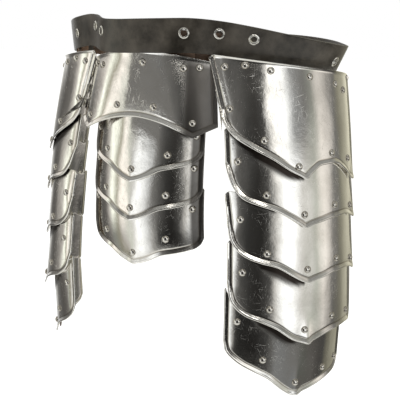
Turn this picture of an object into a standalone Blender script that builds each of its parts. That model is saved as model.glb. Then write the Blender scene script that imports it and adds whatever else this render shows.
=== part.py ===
"""Tasset: a leather waist belt that carries two side sets of five steel lames and a front set of four.

Metres, +Z up. The wearer faces -Y and the wearer's left is +X. The origin is the middle of the waist opening, level
with the middle of the belt in front.
"""
import math

import bmesh
import bpy
from mathutils import Vector
from mathutils.bvhtree import BVHTree

MM = 0.001

# Belt
BELT_HEIGHT = 41 * MM
BELT_THICKNESS = 3 * MM
BELT_STEP = 19 * MM
BELT_LAP = 60 * MM
BELT_LAP_RAMP = 60 * MM
BELT_LAP_GAP = 0.6 * MM
BELT_CURVE_STEPS = 10
FLAT_PATCH = 8 * MM
BACK_HALF_WIDTH = 196 * MM
BACK_DEPTH = 146 * MM
HOLE_CLEARANCE = 0.3 * MM

# Eyelets and the closing stud
EYELET_HOLE_RADIUS = 4.1 * MM
EYELET_WALL = 0.8 * MM
EYELET_FLANGE_RADIUS = 6.6 * MM
EYELET_FLANGE_HEIGHT = 1 * MM
EYELET_SIDES = 8
STUD_HEAD_RADIUS = 7 * MM
STUD_SHANK_RADIUS = 2.5 * MM
STUD_HEAD_HEIGHT = 1.8 * MM
STUD_SIDES = 12

# Steel
STEEL = 1.2 * MM
LAP = 7 * MM
NEST = 0.045
RIM_WIDTH = 6 * MM
RIM_FLARE = 1.3 * MM
LIP_WIDTH = 3 * MM
LIP_FLARE = 2 * MM
TOP_CORNER = 5 * MM

# Rivets
RIVET_RADIUS = 4.7 * MM
RIVET_HEIGHT = 3 * MM
RIVET_SIDES = 6
SHANK_RADIUS = 1.6 * MM
TAIL_RADIUS = 3.4 * MM
TAIL_HEIGHT = 0.9 * MM
SHANK_SIDES = 4

# Straps inside the plates
STRAP_WIDTH = 20 * MM
STRAP_THICKNESS = 2 * MM
STRAP_CLEARANCE = 1.7 * MM
STRAP_END = 9 * MM
STRAP_TOP = 9.5 * MM
STRAP_SLOPE = 2
STRAP_FLAT = 5 * MM
STRAP_SEARCH = 14 * MM
EDGE_MARGIN = 1.5 * MM
BELT_MARGIN = 3.5 * MM

# Side sets hang on a hip surface, two arcs in plan that meet at a ridge
HIP_AXIS = Vector((101.4 * MM, 0.6 * MM))
HIP_RADIUS = 123 * MM
HIP_FACING = math.radians(53)
HIP_DEGREE = HIP_RADIUS * math.radians(1)
HIP_SECTIONS = [
    # height, front_radius, rear_radius, ridge_out
    (-23 * MM, 144 * MM, 118 * MM, -22 * MM),
    (-163 * MM, 123 * MM, 123 * MM, 4 * MM),
    (-228 * MM, 123 * MM, 127 * MM, 9.5 * MM),
    (-298 * MM, 123 * MM, 130 * MM, 13 * MM),
    (-378 * MM, 123 * MM, 124 * MM, 17.5 * MM),
]
LAST_SECTIONS = [
    # height, front_radius, rear_radius, ridge_out
    (-310 * MM, 136 * MM, 118 * MM, 6.5 * MM),
    (-448 * MM, 140 * MM, 118 * MM, 1 * MM),
]

# Side lames: height of the point, place of the point and reach of the edges in degrees along the hip surface, and the
# share of the upper lame's front reach at which this lame's upper edge turns level
SIDE_LAMES = [
    # tip, tip_across, front_top, front_low, rear, peek
    (-167 * MM, 0, 53.5, 48.5, 55, 1.0),
    (-228 * MM, 0, 47.2, 47.2, 55, 0.93),
    (-299 * MM, 3, 48.5, 46.5, 56, 0.79),
    (-379 * MM, 3, 47.0, 46.5, 54, 0.92),
    (-457 * MM, 1, 46.5, 45.8, 45, 0.985),
]
SIDE_TOP_HEIGHT = -32 * MM
SIDE_TOP_FALL = 0.244 * MM
# Lower edges: place across as a share of the front or rear reach, and the rise over the point as shares of this pitch
LAME_PITCH = 70 * MM
EDGE_RISE = [
    # across, lame_1, lame_2, lame_3, lame_4, lame_5
    (-1.00, 0.89, 1.11, 1.09, 1.11, 1.10),
    (-0.97, 0.83, 0.94, 0.83, 0.86, 0.93),
    (-0.90, 0.76, 0.70, 0.64, 0.69, 0.81),
    (-0.77, 0.64, 0.51, 0.49, 0.55, 0.67),
    (-0.60, 0.50, 0.42, 0.40, 0.46, 0.54),
    (-0.42, 0.36, 0.34, 0.33, 0.34, 0.40),
    (-0.20, 0.15, 0.18, 0.14, 0.11, 0.13),
    (-0.08, 0.06, 0.07, 0.04, 0.04, 0.02),
    (0.00, 0.00, 0.00, 0.00, 0.00, 0.00),
    (0.08, 0.11, 0.04, 0.03, 0.05, 0.04),
    (0.20, 0.22, 0.08, 0.06, 0.10, 0.07),
    (0.40, 0.23, 0.12, 0.11, 0.14, 0.12),
    (0.60, 0.09, 0.12, 0.10, 0.14, 0.16),
    (0.80, -0.10, 0.04, 0.04, 0.11, 0.19),
    (0.93, -0.19, -0.04, -0.04, 0.07, 0.27),
    (1.00, -0.07, 0.06, 0.06, 0.16, 0.40),
]
# Rivets of the side lames from front to rear: degrees from the ridge, and rise over the point as shares of the pitch
SIDE_RIVETS_ACROSS = [
    # edge, strap_1, strap_2, strap_3, heel
    (-43.0, -24.0, -4.5, 20.0, 41.0),
    (-40.0, -23.5, -0.8, 22.8, 47.0),
    (-39.0, -23.0, 2.0, 26.0, 50.0),
    (-37.5, -21.0, 0.8, 23.0, 44.5),
    (-38.0, -21.5, 0.0, 22.8, 38.8),
]
SIDE_RIVETS_RISE = [
    # edge, strap_1, strap_2, strap_3, heel
    (1.19, 0.67, 0.22, 0.41, 0.24),
    (1.16, 0.60, 0.24, 0.34, 0.20),
    (1.16, 0.57, 0.25, 0.34, 0.17),
    (1.34, 0.69, 0.27, 0.40, 0.31),
    (1.51, 0.77, 0.26, 0.39, 0.44),
]
# Rivets along the top of the first side lame, with the strap that each holds
SIDE_TOP_RIVETS = [
    # across, under_top, strap
    (-44.5, 13 * MM, None),
    (-32.7, 7.5 * MM, None),
    (-18.5, 10 * MM, "front"),
    (5.3, 11.5 * MM, "middle"),
    (27.1, 16 * MM, "rear"),
    (38.0, 22 * MM, None),
]
SIDE_STRAPS = ("front", "middle", "rear")

# Front plate
FRONT_TOP_HEIGHT = -16 * MM
FRONT_TOP_FALL = 14.5 * MM
FRONT_TOP_Y = -145 * MM
FRONT_LEAN = 7 * MM
FRONT_SPAN = 85 * MM
FRONT_SPAN_START = -23 * MM
FRONT_TOP_HALF = 92 * MM
FRONT_LOW_HALF = 102.5 * MM
FRONT_SETBACK = 33.5 * MM
FRONT_BEND_TOP = 86.5 * MM
FRONT_BEND_LOW = 105 * MM
FRONT_BEND_POWERS = (2.4, 3.8)
# The bend goes on changing this far down, as a share of the span
FRONT_DROP_LIMIT = 1.3
FRONT_POINT_X = 80 * MM
FRONT_MIDDLE_HEIGHT = -98.3 * MM
FRONT_POINT_DROP = 21.7 * MM
FRONT_END_RISE = 13 * MM
FRONT_COLUMNS = [0.0, 0.16, 0.32, 0.48, 0.62, 0.755, 0.83, 0.91, 1.0]
FRONT_RIVETS = [
    # x, height, holds_strap, on_both_sides
    (9 * MM, -31 * MM, False, False),
    (61 * MM, -37 * MM, True, True),
    (77 * MM, -36 * MM, False, True),
    (27.5 * MM, -85 * MM, False, True),
    (78 * MM, -102 * MM, False, True),
]

# Front lames hang on one arc in plan, and this is how far forward it stands down the front
FRONT_RADIUS = 108 * MM
FRONT_SECTIONS = [
    # height, y
    (-98 * MM, -152 * MM),
    (-180 * MM, -160 * MM),
    (-230 * MM, -162 * MM),
    (-290 * MM, -153 * MM),
]
FRONT_LAMES = [
    # tip, half_arc
    (-180 * MM, 94 * MM),
    (-230 * MM, 95 * MM),
    (-290 * MM, 98 * MM),
]
FRONT_RISE = 40 * MM
FRONT_EDGE_RISE = [
    # across as a share of the half arc, rise as a share of the full rise
    (0.0, 0.0),
    (0.12, 0.08),
    (0.24, 0.2),
    (0.42, 0.41),
    (0.62, 0.51),
    (0.85, 0.65),
    (0.95, 0.8),
    (1.0, 1.0),
]
FRONT_LAME_RIVETS = [
    # arc, rises over the points of lames 1 to 3, holds_strap
    (0 * MM, (16 * MM, 16.4 * MM, 16 * MM), False),
    (48 * MM, (36.5 * MM, 36 * MM, 39 * MM), True),
    (83 * MM, (60 * MM, 70 * MM, 78 * MM), False),
]

# The belt's way round: what it lies against and where on it, then stand-off, height of its middle, outward lean
BELT_ROUTE = [
    # against, across, stand_off, height, lean
    ("back", 0.0, 0 * MM, -12 * MM, 3),
    ("back", 0.36, 0 * MM, -11 * MM, 3),
    ("back", 0.70, 0 * MM, -8 * MM, 4),
    ("right", 42, -6.5 * MM, -6 * MM, 6),
    ("right", 15, -9.5 * MM, -4 * MM, 6),
    ("right", -8, -11.5 * MM, 0 * MM, 5),
    ("right", -30, -8.5 * MM, 4 * MM, 4),
    ("right", -45, -6.5 * MM, 7 * MM, 0),
    ("front", -80, 2.5 * MM, 6 * MM, -2),
    ("front", -60, 4.3 * MM, 1.5 * MM, 0),
    ("front", -30, 4.3 * MM, 0 * MM, 0),
    ("front", 0, 4.3 * MM, 0.5 * MM, 0),
    ("front", 35, 4.3 * MM, 1.3 * MM, 1),
    ("front", 66, 4.6 * MM, 2 * MM, 4),
    ("left", -44, -4.5 * MM, -1.6 * MM, 10),
    ("left", -27, -4 * MM, -7 * MM, 18),
    ("left", -7, -3.8 * MM, -14.5 * MM, 24),
    ("left", 15, -3.8 * MM, -21.5 * MM, 27),
    ("left", 40, -3.8 * MM, -26.5 * MM, 25),
    ("back", -0.70, 0 * MM, -22 * MM, 13),
    ("back", -0.36, 0 * MM, -16 * MM, 6),
]
EYELETS = [
    # direction from the origin in degrees towards the wearer's left, height over the belt's middle
    (-57.0, -1.5 * MM),
    (-34.9, 6 * MM),
    (-24.4, 4 * MM),
    (24.4, 3 * MM),
    (40.6, 5.7 * MM),
    (54.5, 6 * MM),
    (89.6, -1.5 * MM),
]

# Colours
LEATHER = (0.045, 0.038, 0.032, 1.0)
HIDDEN_LEATHER = (0.09, 0.05, 0.03, 1.0)
POLISHED = (0.62, 0.61, 0.58, 1.0)
NICKEL = (0.75, 0.74, 0.71, 1.0)


def blend(start, end, share):
    """Value part of the way from start to end."""
    return start + (end - start) * share


def read_table(rows, value):
    """Straight-line reading of a table by its first column, held at its ends."""
    rows = sorted(rows)
    value = min(max(value, rows[0][0]), rows[-1][0])
    low, high = next((a, b) for a, b in zip(rows, rows[1:]) if value <= b[0])
    share = (value - low[0]) / (high[0] - low[0])
    return [blend(a, b, share) for a, b in zip(low[1:], high[1:])]


def new_material(name, colour, roughness, metallic):
    """A Principled material."""
    material = bpy.data.materials.new(name)
    material.use_nodes = True
    shader = material.node_tree.nodes["Principled BSDF"]
    shader.inputs["Base Color"].default_value = colour
    shader.inputs["Roughness"].default_value = roughness
    shader.inputs["Metallic"].default_value = metallic
    return material


def new_object(name, mesh, collection, material=None):
    """Links a mesh as an object of the collection."""
    made = bpy.data.objects.new(name, mesh)
    collection.objects.link(made)
    if material:
        mesh.materials.append(material)
    return made


def new_mesh(name, work):
    """Turns a bmesh into a mesh and frees it."""
    mesh = bpy.data.meshes.new(name)
    work.to_mesh(mesh)
    work.free()
    return mesh


def sheet(name, columns):
    """An open sheet over columns of points."""
    work = bmesh.new()
    grid = [[work.verts.new(point) for point in column] for column in columns]
    for left, right in zip(grid, grid[1:]):
        for k in range(len(left) - 1):
            work.faces.new((left[k], left[k + 1], right[k + 1], right[k]))
    bmesh.ops.recalc_face_normals(work, faces=work.faces)
    return new_mesh(name, work)


def add_turned(work, profile, sides, place, axis, ring=False):
    """Adds a solid turned from (radius, height) rows about an axis through a place."""
    turn = axis.normalized().to_track_quat("Z", "Y")
    circles = []
    for radius, height in profile:
        count = sides if radius else 1
        angles = [math.tau * (k + 0.5) / sides for k in range(count)]
        circles.append([work.verts.new(place + turn @ Vector((radius * math.cos(a), radius * math.sin(a), height)))
                        for a in angles])
    pairs = list(zip(circles, circles[1:]))
    if ring:
        pairs.append((circles[-1], circles[0]))
    for low, high in pairs:
        for k in range(sides):
            corners = [low[k % len(low)], low[(k + 1) % len(low)], high[(k + 1) % len(high)], high[k % len(high)]]
            work.faces.new(list(dict.fromkeys(corners)))


def solidify(target, thickness):
    """Gives a sheet its wall, half to each side."""
    wall = target.modifiers.new("wall", "SOLIDIFY")
    wall.thickness = thickness
    wall.offset = 0
    wall.use_even_offset = True


def combine(target, tool, operation):
    """Adds an exact Boolean step to the target."""
    step = target.modifiers.new(operation.lower(), "BOOLEAN")
    step.operation = operation
    step.solver = "EXACT"
    step.object = tool
    tool.hide_render = True
    tool.display_type = "WIRE"


def hip_point(sections, across, height, inset=0.0):
    """Place on the wearer's left hip surface and its outward direction in plan."""
    front_radius, rear_radius, ridge_out = read_table(sections, height)
    radius = front_radius if across < 0 else rear_radius
    facing = Vector((math.sin(HIP_FACING), -math.cos(HIP_FACING)))
    angle = HIP_FACING + across * HIP_DEGREE / radius
    out = Vector((math.sin(angle), -math.cos(angle)))
    place = HIP_AXIS + facing * (HIP_RADIUS + ridge_out - radius) + out * (radius - inset)
    return Vector((place.x, place.y, height)), Vector((out.x, out.y, 0))


def edge_at(index, share):
    """Height of a side lame's lower edge at a share of its reach."""
    return SIDE_LAMES[index][0] + LAME_PITCH * read_table(EDGE_RISE, share)[index]


def side_edge(index, across):
    """Height of a side lame's lower edge at some degrees from the ridge."""
    _, tip_across, _, front_low, rear, _ = SIDE_LAMES[index]
    past = across - tip_across
    reach = rear - tip_across if past > 0 else front_low + tip_across
    return edge_at(index, past / reach)


def side_top(index, across):
    """Height of a side lame's upper edge."""
    if index == 0:
        return SIDE_TOP_HEIGHT - SIDE_TOP_FALL * across
    level = edge_at(index - 1, -SIDE_LAMES[index][5])
    return (min(side_edge(index - 1, across), level) if across < 0 else side_edge(index - 1, across)) + LAP


def side_point(index, across, height, inset=0.0):
    """Middle surface of a left lame, tucked in towards its top so that the lame above passes over it."""
    if index == len(SIDE_LAMES) - 1:
        return hip_point(LAST_SECTIONS, across, height, inset)[0]
    tuck = NEST * max(height - side_edge(index, across), 0.0) if index else 0.0
    return hip_point(HIP_SECTIONS, across, height, inset + tuck)[0]


def front_plate_point(x, height, inset=0.0):
    """Middle surface of the front plate: flat in front, turning back towards both ends."""
    drop = min(max((FRONT_SPAN_START - height) / FRONT_SPAN, 0.0), FRONT_DROP_LIMIT)
    power = blend(*FRONT_BEND_POWERS, drop)
    reach = blend(FRONT_BEND_TOP, FRONT_BEND_LOW, drop)
    y = FRONT_TOP_Y - FRONT_LEAN * drop + FRONT_SETBACK * abs(x / reach) ** power
    slope = math.copysign(FRONT_SETBACK * power / reach * abs(x / reach) ** (power - 1), x)
    inward = Vector((-slope, 1, 0)).normalized()
    return Vector((x, y, height)) + inward * inset


def front_plate_edge(x):
    """Height of the front plate's lower edge."""
    if abs(x) <= FRONT_POINT_X:
        return FRONT_MIDDLE_HEIGHT - FRONT_POINT_DROP * abs(x / FRONT_POINT_X) ** 1.9
    past = min((abs(x) - FRONT_POINT_X) / (FRONT_LOW_HALF - FRONT_POINT_X), 1.0)
    return FRONT_MIDDLE_HEIGHT - FRONT_POINT_DROP + FRONT_END_RISE * past


def front_plate_top(x):
    """Height of the front plate's upper edge."""
    return FRONT_TOP_HEIGHT - FRONT_TOP_FALL * abs(x / FRONT_TOP_HALF) ** 1.7


def front_lame_edge(index, arc):
    """Height of a front lame's lower edge at a distance along its arc from the middle."""
    tip, half_arc = FRONT_LAMES[index]
    return tip + FRONT_RISE * read_table(FRONT_EDGE_RISE, abs(arc) / half_arc)[0]


def front_lame_top(index, arc):
    """Height of a front lame's upper edge."""
    above = front_plate_edge(arc) if index == 0 else front_lame_edge(index - 1, arc)
    return above + LAP


def front_lame_point(index, arc, height, inset=0.0):
    """Middle surface of a front lame, tucked in towards its top."""
    y = read_table(FRONT_SECTIONS, height)[0]
    angle = arc / FRONT_RADIUS
    reach = FRONT_RADIUS - inset - NEST * max(height - front_lame_edge(index, arc), 0.0)
    return Vector((reach * math.sin(angle), y + FRONT_RADIUS - reach * math.cos(angle), height))


def levels(top, low, lip):
    """Heights down a plate with how far each is flared outwards."""
    upper = [(top, lip), (top - LIP_WIDTH, 0.0), (blend(top, low, 0.5), 0.0)] if lip else [(top, 0.0)]
    return upper + [(low + RIM_WIDTH, 0.0), (low, RIM_FLARE)]


class Belt:
    """The belt's middle line: a closed smooth curve, measured from the middle of the front to the wearer's left."""

    def __init__(self):
        self.line = self.rounded([self.anchor(*row) for row in BELT_ROUTE])
        self.run = [0.0]
        for here, following in zip(self.line, self.line[1:] + self.line[:1]):
            self.run.append(self.run[-1] + math.dist(here[:2], following[:2]))
        self.length = self.run[-1]
        self.front = next(self.run[k] for k in range(1, len(self.line)) if self.line[k][0] >= 0 > self.line[k][1])

    @staticmethod
    def anchor(against, across, stand_off, height, lean):
        """Plan place, height and lean of one row of the route."""
        if against == "back":
            angle = across * math.pi / 2
            x, y = -BACK_HALF_WIDTH * math.sin(angle), BACK_DEPTH * math.cos(angle)
        elif against == "front":
            x, y, _ = front_plate_point(across * MM, FRONT_TOP_HEIGHT, -stand_off)
        else:
            x, y, _ = side_point(0, across, side_top(0, across), -stand_off)
            x = -x if against == "right" else x
        return x, y, height, math.radians(lean)

    @staticmethod
    def rounded(knots):
        """Points along a closed curve through the knots."""
        count = len(knots)
        gaps = [math.dist(knots[k][:2], knots[(k + 1) % count][:2]) for k in range(count)]
        slopes = []
        for k in range(count):
            before, after = gaps[k - 1], gaps[k]
            slopes.append([((here - last) / before * after + (following - here) / after * before) / (before + after)
                           for last, here, following in zip(knots[k - 1], knots[k], knots[(k + 1) % count])])
        points = []
        for k in range(count):
            rows = list(zip(knots[k], knots[(k + 1) % count], slopes[k], slopes[(k + 1) % count]))
            for step in range(BELT_CURVE_STEPS):
                t = step / BELT_CURVE_STEPS
                rise = t * t * (3 - 2 * t)
                points.append([blend(a, b, rise) + gaps[k] * (t * (1 - t) ** 2 * m - t * t * (1 - t) * n)
                               for a, b, m, n in rows])
        return points

    def at(self, distance):
        """Middle place, outward normal and upward direction at a distance, before any lap is added."""
        run = (distance + self.front) % self.length
        k = next(k for k in range(len(self.line)) if self.run[k + 1] >= run)
        here, following = self.line[k], self.line[(k + 1) % len(self.line)]
        share = (run - self.run[k]) / (self.run[k + 1] - self.run[k])
        x, y, height, lean = [blend(a, b, share) for a, b in zip(here, following)]
        along = Vector((following[0] - here[0], following[1] - here[1], 0)).normalized()
        out = Vector((along.y, -along.x, 0))
        up = Vector((0, 0, math.cos(lean))) + out * math.sin(lean)
        return Vector((x, y, height)), along.cross(up).normalized(), up

    def lapped(self, distance, rise):
        """Place on the belt's middle surface, lifted outwards where its outer end laps over its inner end."""
        place, normal, up = self.at(distance)
        past = distance - (self.length / 2 - BELT_LAP / 2 - FLAT_PATCH - BELT_LAP_RAMP)
        lift = (BELT_THICKNESS + BELT_LAP_GAP) * min(max(past / BELT_LAP_RAMP, 0.0), 1.0)
        return place + up * rise + normal * lift

    def patch(self, distance):
        """Flat patch of the belt round a distance: its middle, the way to its end, and its upward direction."""
        before, after = (self.lapped(distance + step, 0.0) for step in (-FLAT_PATCH, FLAT_PATCH))
        up = (self.at(distance - FLAT_PATCH)[2] + self.at(distance + FLAT_PATCH)[2]).normalized()
        along = (after - before) / 2
        return (before + after) / 2, along, (up - along * up.dot(along) / along.length_squared).normalized()

    def distance_towards(self, direction):
        """Distance along the belt to the place that lies in a direction from the origin."""
        gaps = []
        for k, (x, y, _, _) in enumerate(self.line):
            gaps.append((abs(math.atan2(x, -y) - direction), k))
        distance = self.run[min(gaps)[1]] - self.front
        for _ in range(4):
            place = self.at(distance)[0]
            distance += (direction - math.atan2(place.x, -place.y)) * place.to_2d().length
        return distance

    def beside(self, place):
        """The belt's middle place and directions nearest in plan to a place."""
        k = min(range(len(self.line)), key=lambda k: math.dist(self.line[k][:2], place[:2]))
        return self.at(self.run[k] - self.front)

    def build(self, collection, tools, material):
        """The belt with its holes."""
        flats = [self.distance_towards(math.radians(direction)) for direction, _ in EYELETS]
        flats += [-self.length / 2, self.length / 2]
        start, end = -self.length / 2 - BELT_LAP / 2, self.length / 2 + BELT_LAP / 2
        count = round((end - start) / BELT_STEP)
        stops = [blend(start, end, k / count) for k in range(count + 1)]
        rises = (-BELT_HEIGHT / 2, BELT_HEIGHT / 2)
        columns = [(s, [self.lapped(s, rise) for rise in rises]) for s in stops
                   if all(abs(s - flat) > 1.6 * FLAT_PATCH for flat in flats)]
        for flat in flats:
            middle, along, up = self.patch(flat)
            for side in (-1, 1):
                columns.append((flat + side * FLAT_PATCH, [middle + along * side + up * rise for rise in rises]))
        columns = [column for _, column in sorted(columns, key=lambda row: row[0])]
        belt = new_object("belt", sheet("belt", columns), collection, material)
        solidify(belt, BELT_THICKNESS)
        work = bmesh.new()
        hole = EYELET_HOLE_RADIUS + EYELET_WALL + HOLE_CLEARANCE
        for number in range(len(EYELETS)):
            self.add_hole(work, *self.eyelet_frame(number), hole, EYELET_SIDES)
        for distance in (-self.length / 2, self.length / 2):
            middle, along, up = self.patch(distance)
            self.add_hole(work, middle, along.cross(up), STUD_SHANK_RADIUS + HOLE_CLEARANCE, STUD_SIDES)
        combine(belt, new_object("belt_holes", new_mesh("belt_holes", work), tools), "DIFFERENCE")

    @staticmethod
    def add_hole(work, middle, normal, radius, sides):
        """Adds a plain hole's cutter through one layer of the belt."""
        reach = BELT_THICKNESS / 2 + BELT_LAP_GAP / 2
        add_turned(work, [(0, -reach), (radius, -reach), (radius, reach), (0, reach)], sides, middle, normal)

    def eyelet_frame(self, number):
        """Middle of an eyelet in the belt's wall and its outward normal."""
        direction, rise = EYELETS[number]
        middle, along, up = self.patch(self.distance_towards(math.radians(direction)))
        return middle + up * rise, along.cross(up).normalized()

    def build_eyelet(self, number, collection, material):
        """One eyelet: a tube through the belt with a flange on each side."""
        middle, normal = self.eyelet_frame(number)
        tube = EYELET_HOLE_RADIUS + EYELET_WALL
        near = BELT_THICKNESS / 2 + HOLE_CLEARANCE
        far = near + EYELET_FLANGE_HEIGHT
        profile = [
            (EYELET_HOLE_RADIUS, -far),
            (EYELET_FLANGE_RADIUS, -far),
            (EYELET_FLANGE_RADIUS, -near),
            (tube, -near),
            (tube, near),
            (EYELET_FLANGE_RADIUS, near),
            (blend(EYELET_HOLE_RADIUS, EYELET_FLANGE_RADIUS, 0.6), far),
            (EYELET_HOLE_RADIUS, far),
        ]
        name = f"eyelet_{number + 1}"
        work = bmesh.new()
        add_turned(work, profile, EYELET_SIDES, middle, normal, ring=True)
        new_object(name, new_mesh(name, work), collection, material)

    def build_stud(self, collection, material):
        """The stud that holds the belt's lapped ends."""
        inner, outer = (self.patch(distance)[0] for distance in (-self.length / 2, self.length / 2))
        axis = (outer - inner).normalized()
        far = BELT_THICKNESS / 2 + HOLE_CLEARANCE
        across = (outer - inner).length + far
        profile = [
            (0, -far - STUD_HEAD_HEIGHT),
            (STUD_HEAD_RADIUS, -far - STUD_HEAD_HEIGHT),
            (STUD_HEAD_RADIUS, -far),
            (STUD_SHANK_RADIUS, -far),
            (STUD_SHANK_RADIUS, across),
            (STUD_HEAD_RADIUS, across),
            (0.6 * STUD_HEAD_RADIUS, across + STUD_HEAD_HEIGHT),
            (0, across + STUD_HEAD_HEIGHT),
        ]
        work = bmesh.new()
        add_turned(work, profile, STUD_SIDES, inner, axis)
        new_object("belt_stud", new_mesh("belt_stud", work), collection, material)


class Strap:
    """A strap behind the plates that it holds. All its places are given as on the wearer's left."""

    def __init__(self, base, plates, belt, rivets, half, mirror):
        self.base = base
        self.plates = plates
        self.belt = belt
        self.rivets = rivets
        self.half = half
        self.mirror = mirror
        self.rows = self.lay_out()

    def belt_beside(self, place):
        """The belt's middle, outward normal and upward direction nearest to a place."""
        return [mirrored(vector, self.mirror) for vector in self.belt.beside(mirrored(place, self.mirror))]

    def across(self, height):
        """Where the strap's middle runs at a height."""
        return read_table([(level, place) for place, level in self.rivets], height)[0]

    def need(self, across, height):
        """How far behind the base surface the strap must be to clear what is in front of it."""
        place, out = self.base(across, height)
        depths = []
        for top, low, point in self.plates:
            if low(across) - EDGE_MARGIN <= height <= top(across) + EDGE_MARGIN:
                depths.append((place - point(across, height)).dot(out) + STEEL / 2)
        middle, normal, up = self.belt_beside(place)
        if height - middle.z >= -(BELT_HEIGHT / 2 + BELT_MARGIN) * up.z:
            depths.append(((place - middle).dot(normal) + BELT_THICKNESS / 2) / normal.dot(out))
        return max(depths) if depths else 0.0

    def depth(self, across, height):
        """Depth that also leaves room for the strap to slope towards what lies above and below."""
        count = round(STRAP_SEARCH / MM)
        steps = [k * MM for k in range(-count, count + 1)]
        return max(self.need(across, height + step) - STRAP_SLOPE * abs(step) for step in steps)

    def spot(self, side, height, depth):
        """Point of the strap's middle surface at one of its two long edges."""
        place, out = self.base(self.across(height) + side * self.half, height)
        return place - out * (depth + STRAP_CLEARANCE + STRAP_THICKNESS / 2)

    def pair(self, heights):
        """Points of both long edges at one or two heights that share a depth."""
        depth = max(self.depth(self.across(h) + side * self.half, h) for h in heights for side in (-1, 1))
        return [(height, [self.spot(side, height, depth) for side in (-1, 1)]) for height in heights]

    def lay_out(self):
        """All rows of the strap from its top to its end."""
        middle, _, up = self.belt_beside(self.base(*self.rivets[0])[0])
        rows = self.pair([middle.z - STRAP_TOP * up.z])
        rows += self.pair([middle.z - (BELT_HEIGHT / 2 + BELT_MARGIN) * up.z])
        for _, height in self.rivets:
            rows += self.pair([height + STRAP_FLAT, height - STRAP_FLAT])
        for top, _, _ in self.plates[1:]:
            height = top(self.rivets[-1][0])
            for _ in range(3):
                height = top(self.across(height))
            for level in [top(self.across(height) + side * self.half) + EDGE_MARGIN / 2 for side in (-1, 1)]:
                if all(abs(level - rivet) > STRAP_FLAT + EDGE_MARGIN for _, rivet in self.rivets):
                    rows += self.pair([level])
        rows += self.pair([self.rivets[-1][1] - STRAP_END])
        rows = sorted(rows, key=lambda row: -row[0])
        return [row for k, row in enumerate(rows) if k == 0 or rows[k - 1][0] - row[0] > 1 * MM]

    def at_rivet(self, number):
        """Middle of the strap and its inward normal where a rivet goes through it."""
        height = self.rivets[number][1]
        above, below = (min(self.rows, key=lambda row: abs(row[0] - height - step))[1]
                        for step in (STRAP_FLAT, -STRAP_FLAT))
        middle = (above[0] + above[1] + below[0] + below[1]) / 4
        inward = (above[0] + above[1] - below[0] - below[1]).cross(above[1] - above[0]).normalized()
        out = self.base(*self.rivets[number])[1]
        return middle, inward if inward.dot(out) < 0 else -inward


def mirrored(point, mirror):
    """Point or direction on the side asked for: 1 is the wearer's left, -1 the right."""
    return Vector((point.x * mirror, point.y, point.z))


def build_strap(name, strap, collection, tools, material):
    """A strap with the holes for its rivets."""
    mirror = strap.mirror
    columns = [[mirrored(points[side], mirror) for _, points in strap.rows] for side in (0, 1)]
    made = new_object(name, sheet(name, columns), collection, material)
    solidify(made, STRAP_THICKNESS)
    work = bmesh.new()
    radius = SHANK_RADIUS + HOLE_CLEARANCE
    reach = 2 * STRAP_THICKNESS
    for number in range(len(strap.rivets)):
        middle, inward = (mirrored(vector, mirror) for vector in strap.at_rivet(number))
        add_turned(work, [(0, -reach), (radius, -reach), (radius, reach), (0, reach)], SHANK_SIDES, middle, inward)
    bmesh.ops.recalc_face_normals(work, faces=work.faces)
    combine(made, new_object(f"{name}_holes", new_mesh(f"{name}_holes", work), tools), "DIFFERENCE")


def add_rivet(work, plate, place, mirror, strap=None, number=0):
    """A domed head on a plate, and where it holds a strap a shank and a flat tail behind it."""
    place, normal, _, _ = plate.find_nearest(place)
    if normal.dot(Vector((place.x, place.y, 0))) < 0:
        normal = -normal
    profile = [
        (0, 0),
        (RIVET_RADIUS, 0),
        (RIVET_RADIUS, STEEL / 2 + 0.2 * RIVET_HEIGHT),
        (0.68 * RIVET_RADIUS, STEEL / 2 + 0.8 * RIVET_HEIGHT),
        (0, STEEL / 2 + RIVET_HEIGHT),
    ]
    add_turned(work, profile, RIVET_SIDES, place, normal)
    if not strap:
        return
    middle, inward = (mirrored(vector, mirror) for vector in strap.at_rivet(number))
    length = (middle - place).dot(normal) / inward.dot(normal)
    reach = length + STRAP_THICKNESS / 2 + HOLE_CLEARANCE
    profile = [
        (0, 0),
        (SHANK_RADIUS, 0),
        (SHANK_RADIUS, reach),
        (TAIL_RADIUS, reach),
        (TAIL_RADIUS, reach + TAIL_HEIGHT),
        (0, reach + TAIL_HEIGHT),
    ]
    add_turned(work, profile, SHANK_SIDES, middle - inward * length, inward)


def plate_tree(columns):
    """The faces of a plate's sheet, for placing rivets on it."""
    rows = len(columns[0])
    points = [point for column in columns for point in column]
    faces = [(c * rows + r, c * rows + r + 1, (c + 1) * rows + r + 1, (c + 1) * rows + r)
             for c in range(len(columns) - 1) for r in range(rows - 1)]
    return BVHTree.FromPolygons(points, faces)


def finish_plate(name, columns, work, collection, tools, material):
    """A plate from its sheet and its rivets."""
    made = new_object(name, sheet(name, columns), collection, material)
    solidify(made, STEEL)
    bmesh.ops.recalc_face_normals(work, faces=work.faces)
    combine(made, new_object(f"{name}_rivets", new_mesh(f"{name}_rivets", work), tools), "UNION")


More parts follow.
